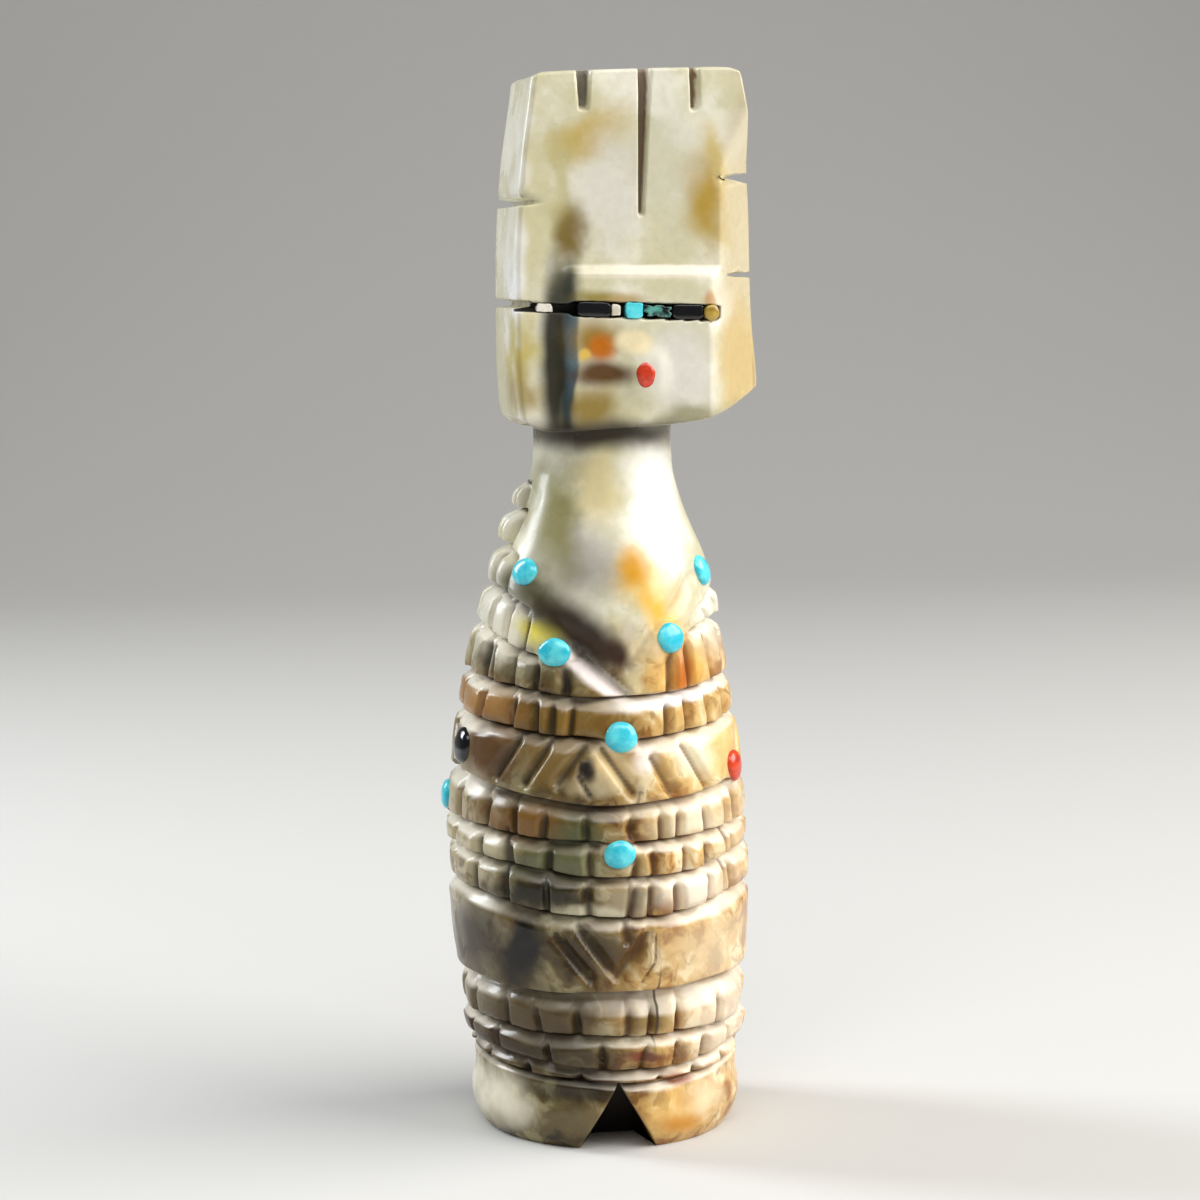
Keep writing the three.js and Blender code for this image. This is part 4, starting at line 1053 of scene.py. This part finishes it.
for number, (name, slot, wide, tall, turned, share) in enumerate(BODY_DOTS):
    turn = np.radians(turned)
    radius, lean = bare_body(np.array([float(turned)]), np.array([share * BODY_TALL]))
    near = follow(BODY_LINE, np.array([share - 0.01, share + 0.01])) * BODY_RADIUS
    slope = (near[1] - near[0]) / (0.02 * BODY_TALL)
    out = np.array([np.sin(turn), -np.cos(turn), -slope])
    seat = np.array([
        radius[0] * np.sin(turn) + lean[0], -radius[0] * np.cos(turn), share * BODY_TALL
    ])
    dot_points, dot_faces = dome(wide, tall, 0.9, 0.5, 20 + number)
    add_inlay(name, slot, seated(dot_points, seat, out), dot_faces)

mouth = np.array([head_x(0.009), HEAD_FRONT - FACE_PROUD - 0.2, head_z(0.146)])
mouth_points, mouth_faces = dome(0.75, 0.95, 0.7, 0.3, 40)
add_inlay("coral_mouth", "coral", seated(mouth_points, mouth, (0, -1, 0)), mouth_faces)

ear = np.array([head_x(0.28), HEAD_FRONT - FACE_PROUD, eye_line(head_x(0.28))])
ear_points, ear_faces = dome(0.56, 0.56, 0.7, 0.2, 41)
add_inlay("shell_ear_right", "gold_shell", seated(ear_points, ear, (0, -1, 0)), ear_faces)


# Flat inlays in the eye cut: thin slips of jet, shell and turquoise, chipped to fit end to end
# and ground flush with the face, so their outlines are uneven.


def slip(left, right, front, half, rough, seed):
    """A small slab in the eye cut: a rounded rectangle with an uneven outline on a front face
    that curves away at its edges, and straight walls to the floor of the cut."""
    rng = np.random.default_rng(seed)
    count = 64
    turn = np.linspace(0, 2 * np.pi, count, endpoint=False)
    square = (np.abs(np.cos(turn)) ** 5 + np.abs(np.sin(turn)) ** 5) ** (-1 / 5)
    wave = 1 + sum(
        rough * rng.uniform(-1, 1) * np.sin(k * turn + rng.uniform(0, 6.28)) for k in (2, 3, 5, 7)
    )
    middle, wide = (left + right) / 2, (right - left) / 2
    across = np.clip(np.cos(turn) * square * wave, -1, 1) * wide
    upward = np.clip(np.sin(turn) * square * wave, -1, 1) * half
    floor = HEAD_FRONT + 0.44
    rings = []
    for scale, y in (
        (1, floor), (1, front + 0.08), (0.985, front + 0.03), (0.95, front + 0.01),
        (0.8, front), (0.45, front - 0.01),
    ):
        x = middle + across * scale
        rings.append(np.stack([x, np.full(count, y), eye_line(x) + upward * scale], -1))
    high = eye_line(middle)
    return closed(np.array(rings), (middle, floor, high), (middle, front - 0.01, high))


# Each slip's name, material slot, left and right end as shares of the head's width, place of
# its front face, half height in mm and how uneven its outline is
SLIPS = [
    ("shell_ear_left", "shell", -0.42, -0.355, -5.06, 0.3, 0.06),
    ("jet_eye_left", "jet", -0.262, -0.13, -5.86, 0.5, 0.02),
    ("shell_bridge", "shell", -0.126, -0.09, -5.84, 0.4, 0.12),
    ("turquoise_nose", "turquoise", -0.07, -0.0, -5.9, 0.56, 0.06),
    ("jet_bridge", "jet", 0.003, 0.118, -5.8, 0.42, 0.16),
    ("jet_eye_right", "jet", 0.121, 0.246, -5.86, 0.5, 0.03),
]

for number, (name, slot, left, right, front, half, rough) in enumerate(SLIPS):
    slip_points, slip_faces = slip(head_x(left), head_x(right), front, half, rough, 60 + number)
    add_inlay(name, slot, slip_points, slip_faces)


# Floor, light and camera: a pale floor that runs up into the backdrop, a large soft lamp at the
# right front, another above the front, a narrow one at the left and a little behind, and the
# camera at the photograph's angle.


def backdrop():
    """A strip across the scene that lies flat, then curves up behind the figure in a quarter
    circle, and goes on upright."""
    turn = np.linspace(0, np.pi / 2, 24)
    bend = 0.35
    y = np.concatenate([[-3.0], np.sin(turn) * bend + 0.35, [0.7]])
    z = np.concatenate([[0.0], (1 - np.cos(turn)) * bend, [3.0]])
    points = np.stack(np.broadcast_arrays([-2.5, 2.5], y[:, None], z[:, None]), -1)
    faces = 2 * np.arange(len(y) - 1)[:, None] + (0, 1, 3, 2)
    mesh = bpy.data.meshes.new("floor")
    mesh.from_pydata(points.reshape(-1, 3).tolist(), [], faces.tolist())
    mesh.shade_smooth()
    made = bpy.data.objects.new("floor", mesh)
    bpy.context.scene.collection.objects.link(made)
    material, _, shader = new_material("pale floor")
    shader.inputs["Base Color"].default_value = linear(206, 205, 202)
    shader.inputs["Roughness"].default_value = 0.85
    made.data.materials.append(material)
    return made


backdrop()


def lamp(name, place, target, size, power, colour):
    """A rectangular soft lamp that faces a target."""
    light = bpy.data.lights.new(name, "AREA")
    light.shape = "RECTANGLE"
    light.size, light.size_y = size
    light.energy = power
    light.color = colour
    made = bpy.data.objects.new(name, light)
    bpy.context.scene.collection.objects.link(made)
    made.location = place
    made.rotation_euler = aim(place, target)
    return made


def aim(place, target):
    """Rotation that points an object's -Z axis from place to target with +Y upward."""
    x, y, z = np.array(target) - np.array(place)
    flat = np.hypot(x, y)
    return (float(np.arctan2(flat, -z)), 0.0, float(np.arctan2(-x, y)))


lamp("key", (0.36, -0.12, 0.3), (0, 0, 0.04), (0.48, 0.34), 3.1, (1.0, 0.98, 0.95))
lamp("left", (-0.24, 0.13, 0.2), (0, 0, 0.06), (0.08, 0.2), 0.78, (0.9, 0.95, 1.0))
lamp("front", (-0.03, -0.32, 0.5), (0, 0, 0.04), (0.5, 0.3), 1.5, (1.0, 1.0, 1.0))

world = bpy.data.worlds.new("world")
world.use_nodes = True
world.node_tree.nodes["Background"].inputs["Color"].default_value = (1.0, 1.0, 1.0, 1.0)
world.node_tree.nodes["Background"].inputs["Strength"].default_value = 0.14
bpy.context.scene.world = world
bpy.context.scene.view_settings.view_transform = "Standard"

lens = bpy.data.cameras.new("camera")
lens.lens = 87
lens.sensor_width = 36
lens.clip_start = 0.01
lens.clip_end = 20
camera = bpy.data.objects.new("camera", lens)
bpy.context.scene.collection.objects.link(camera)
camera.location = (-0.04193, -0.2061, 0.06243)
camera.rotation_euler = aim(camera.location, (0, 0, 0.03846))
bpy.context.scene.camera = camera
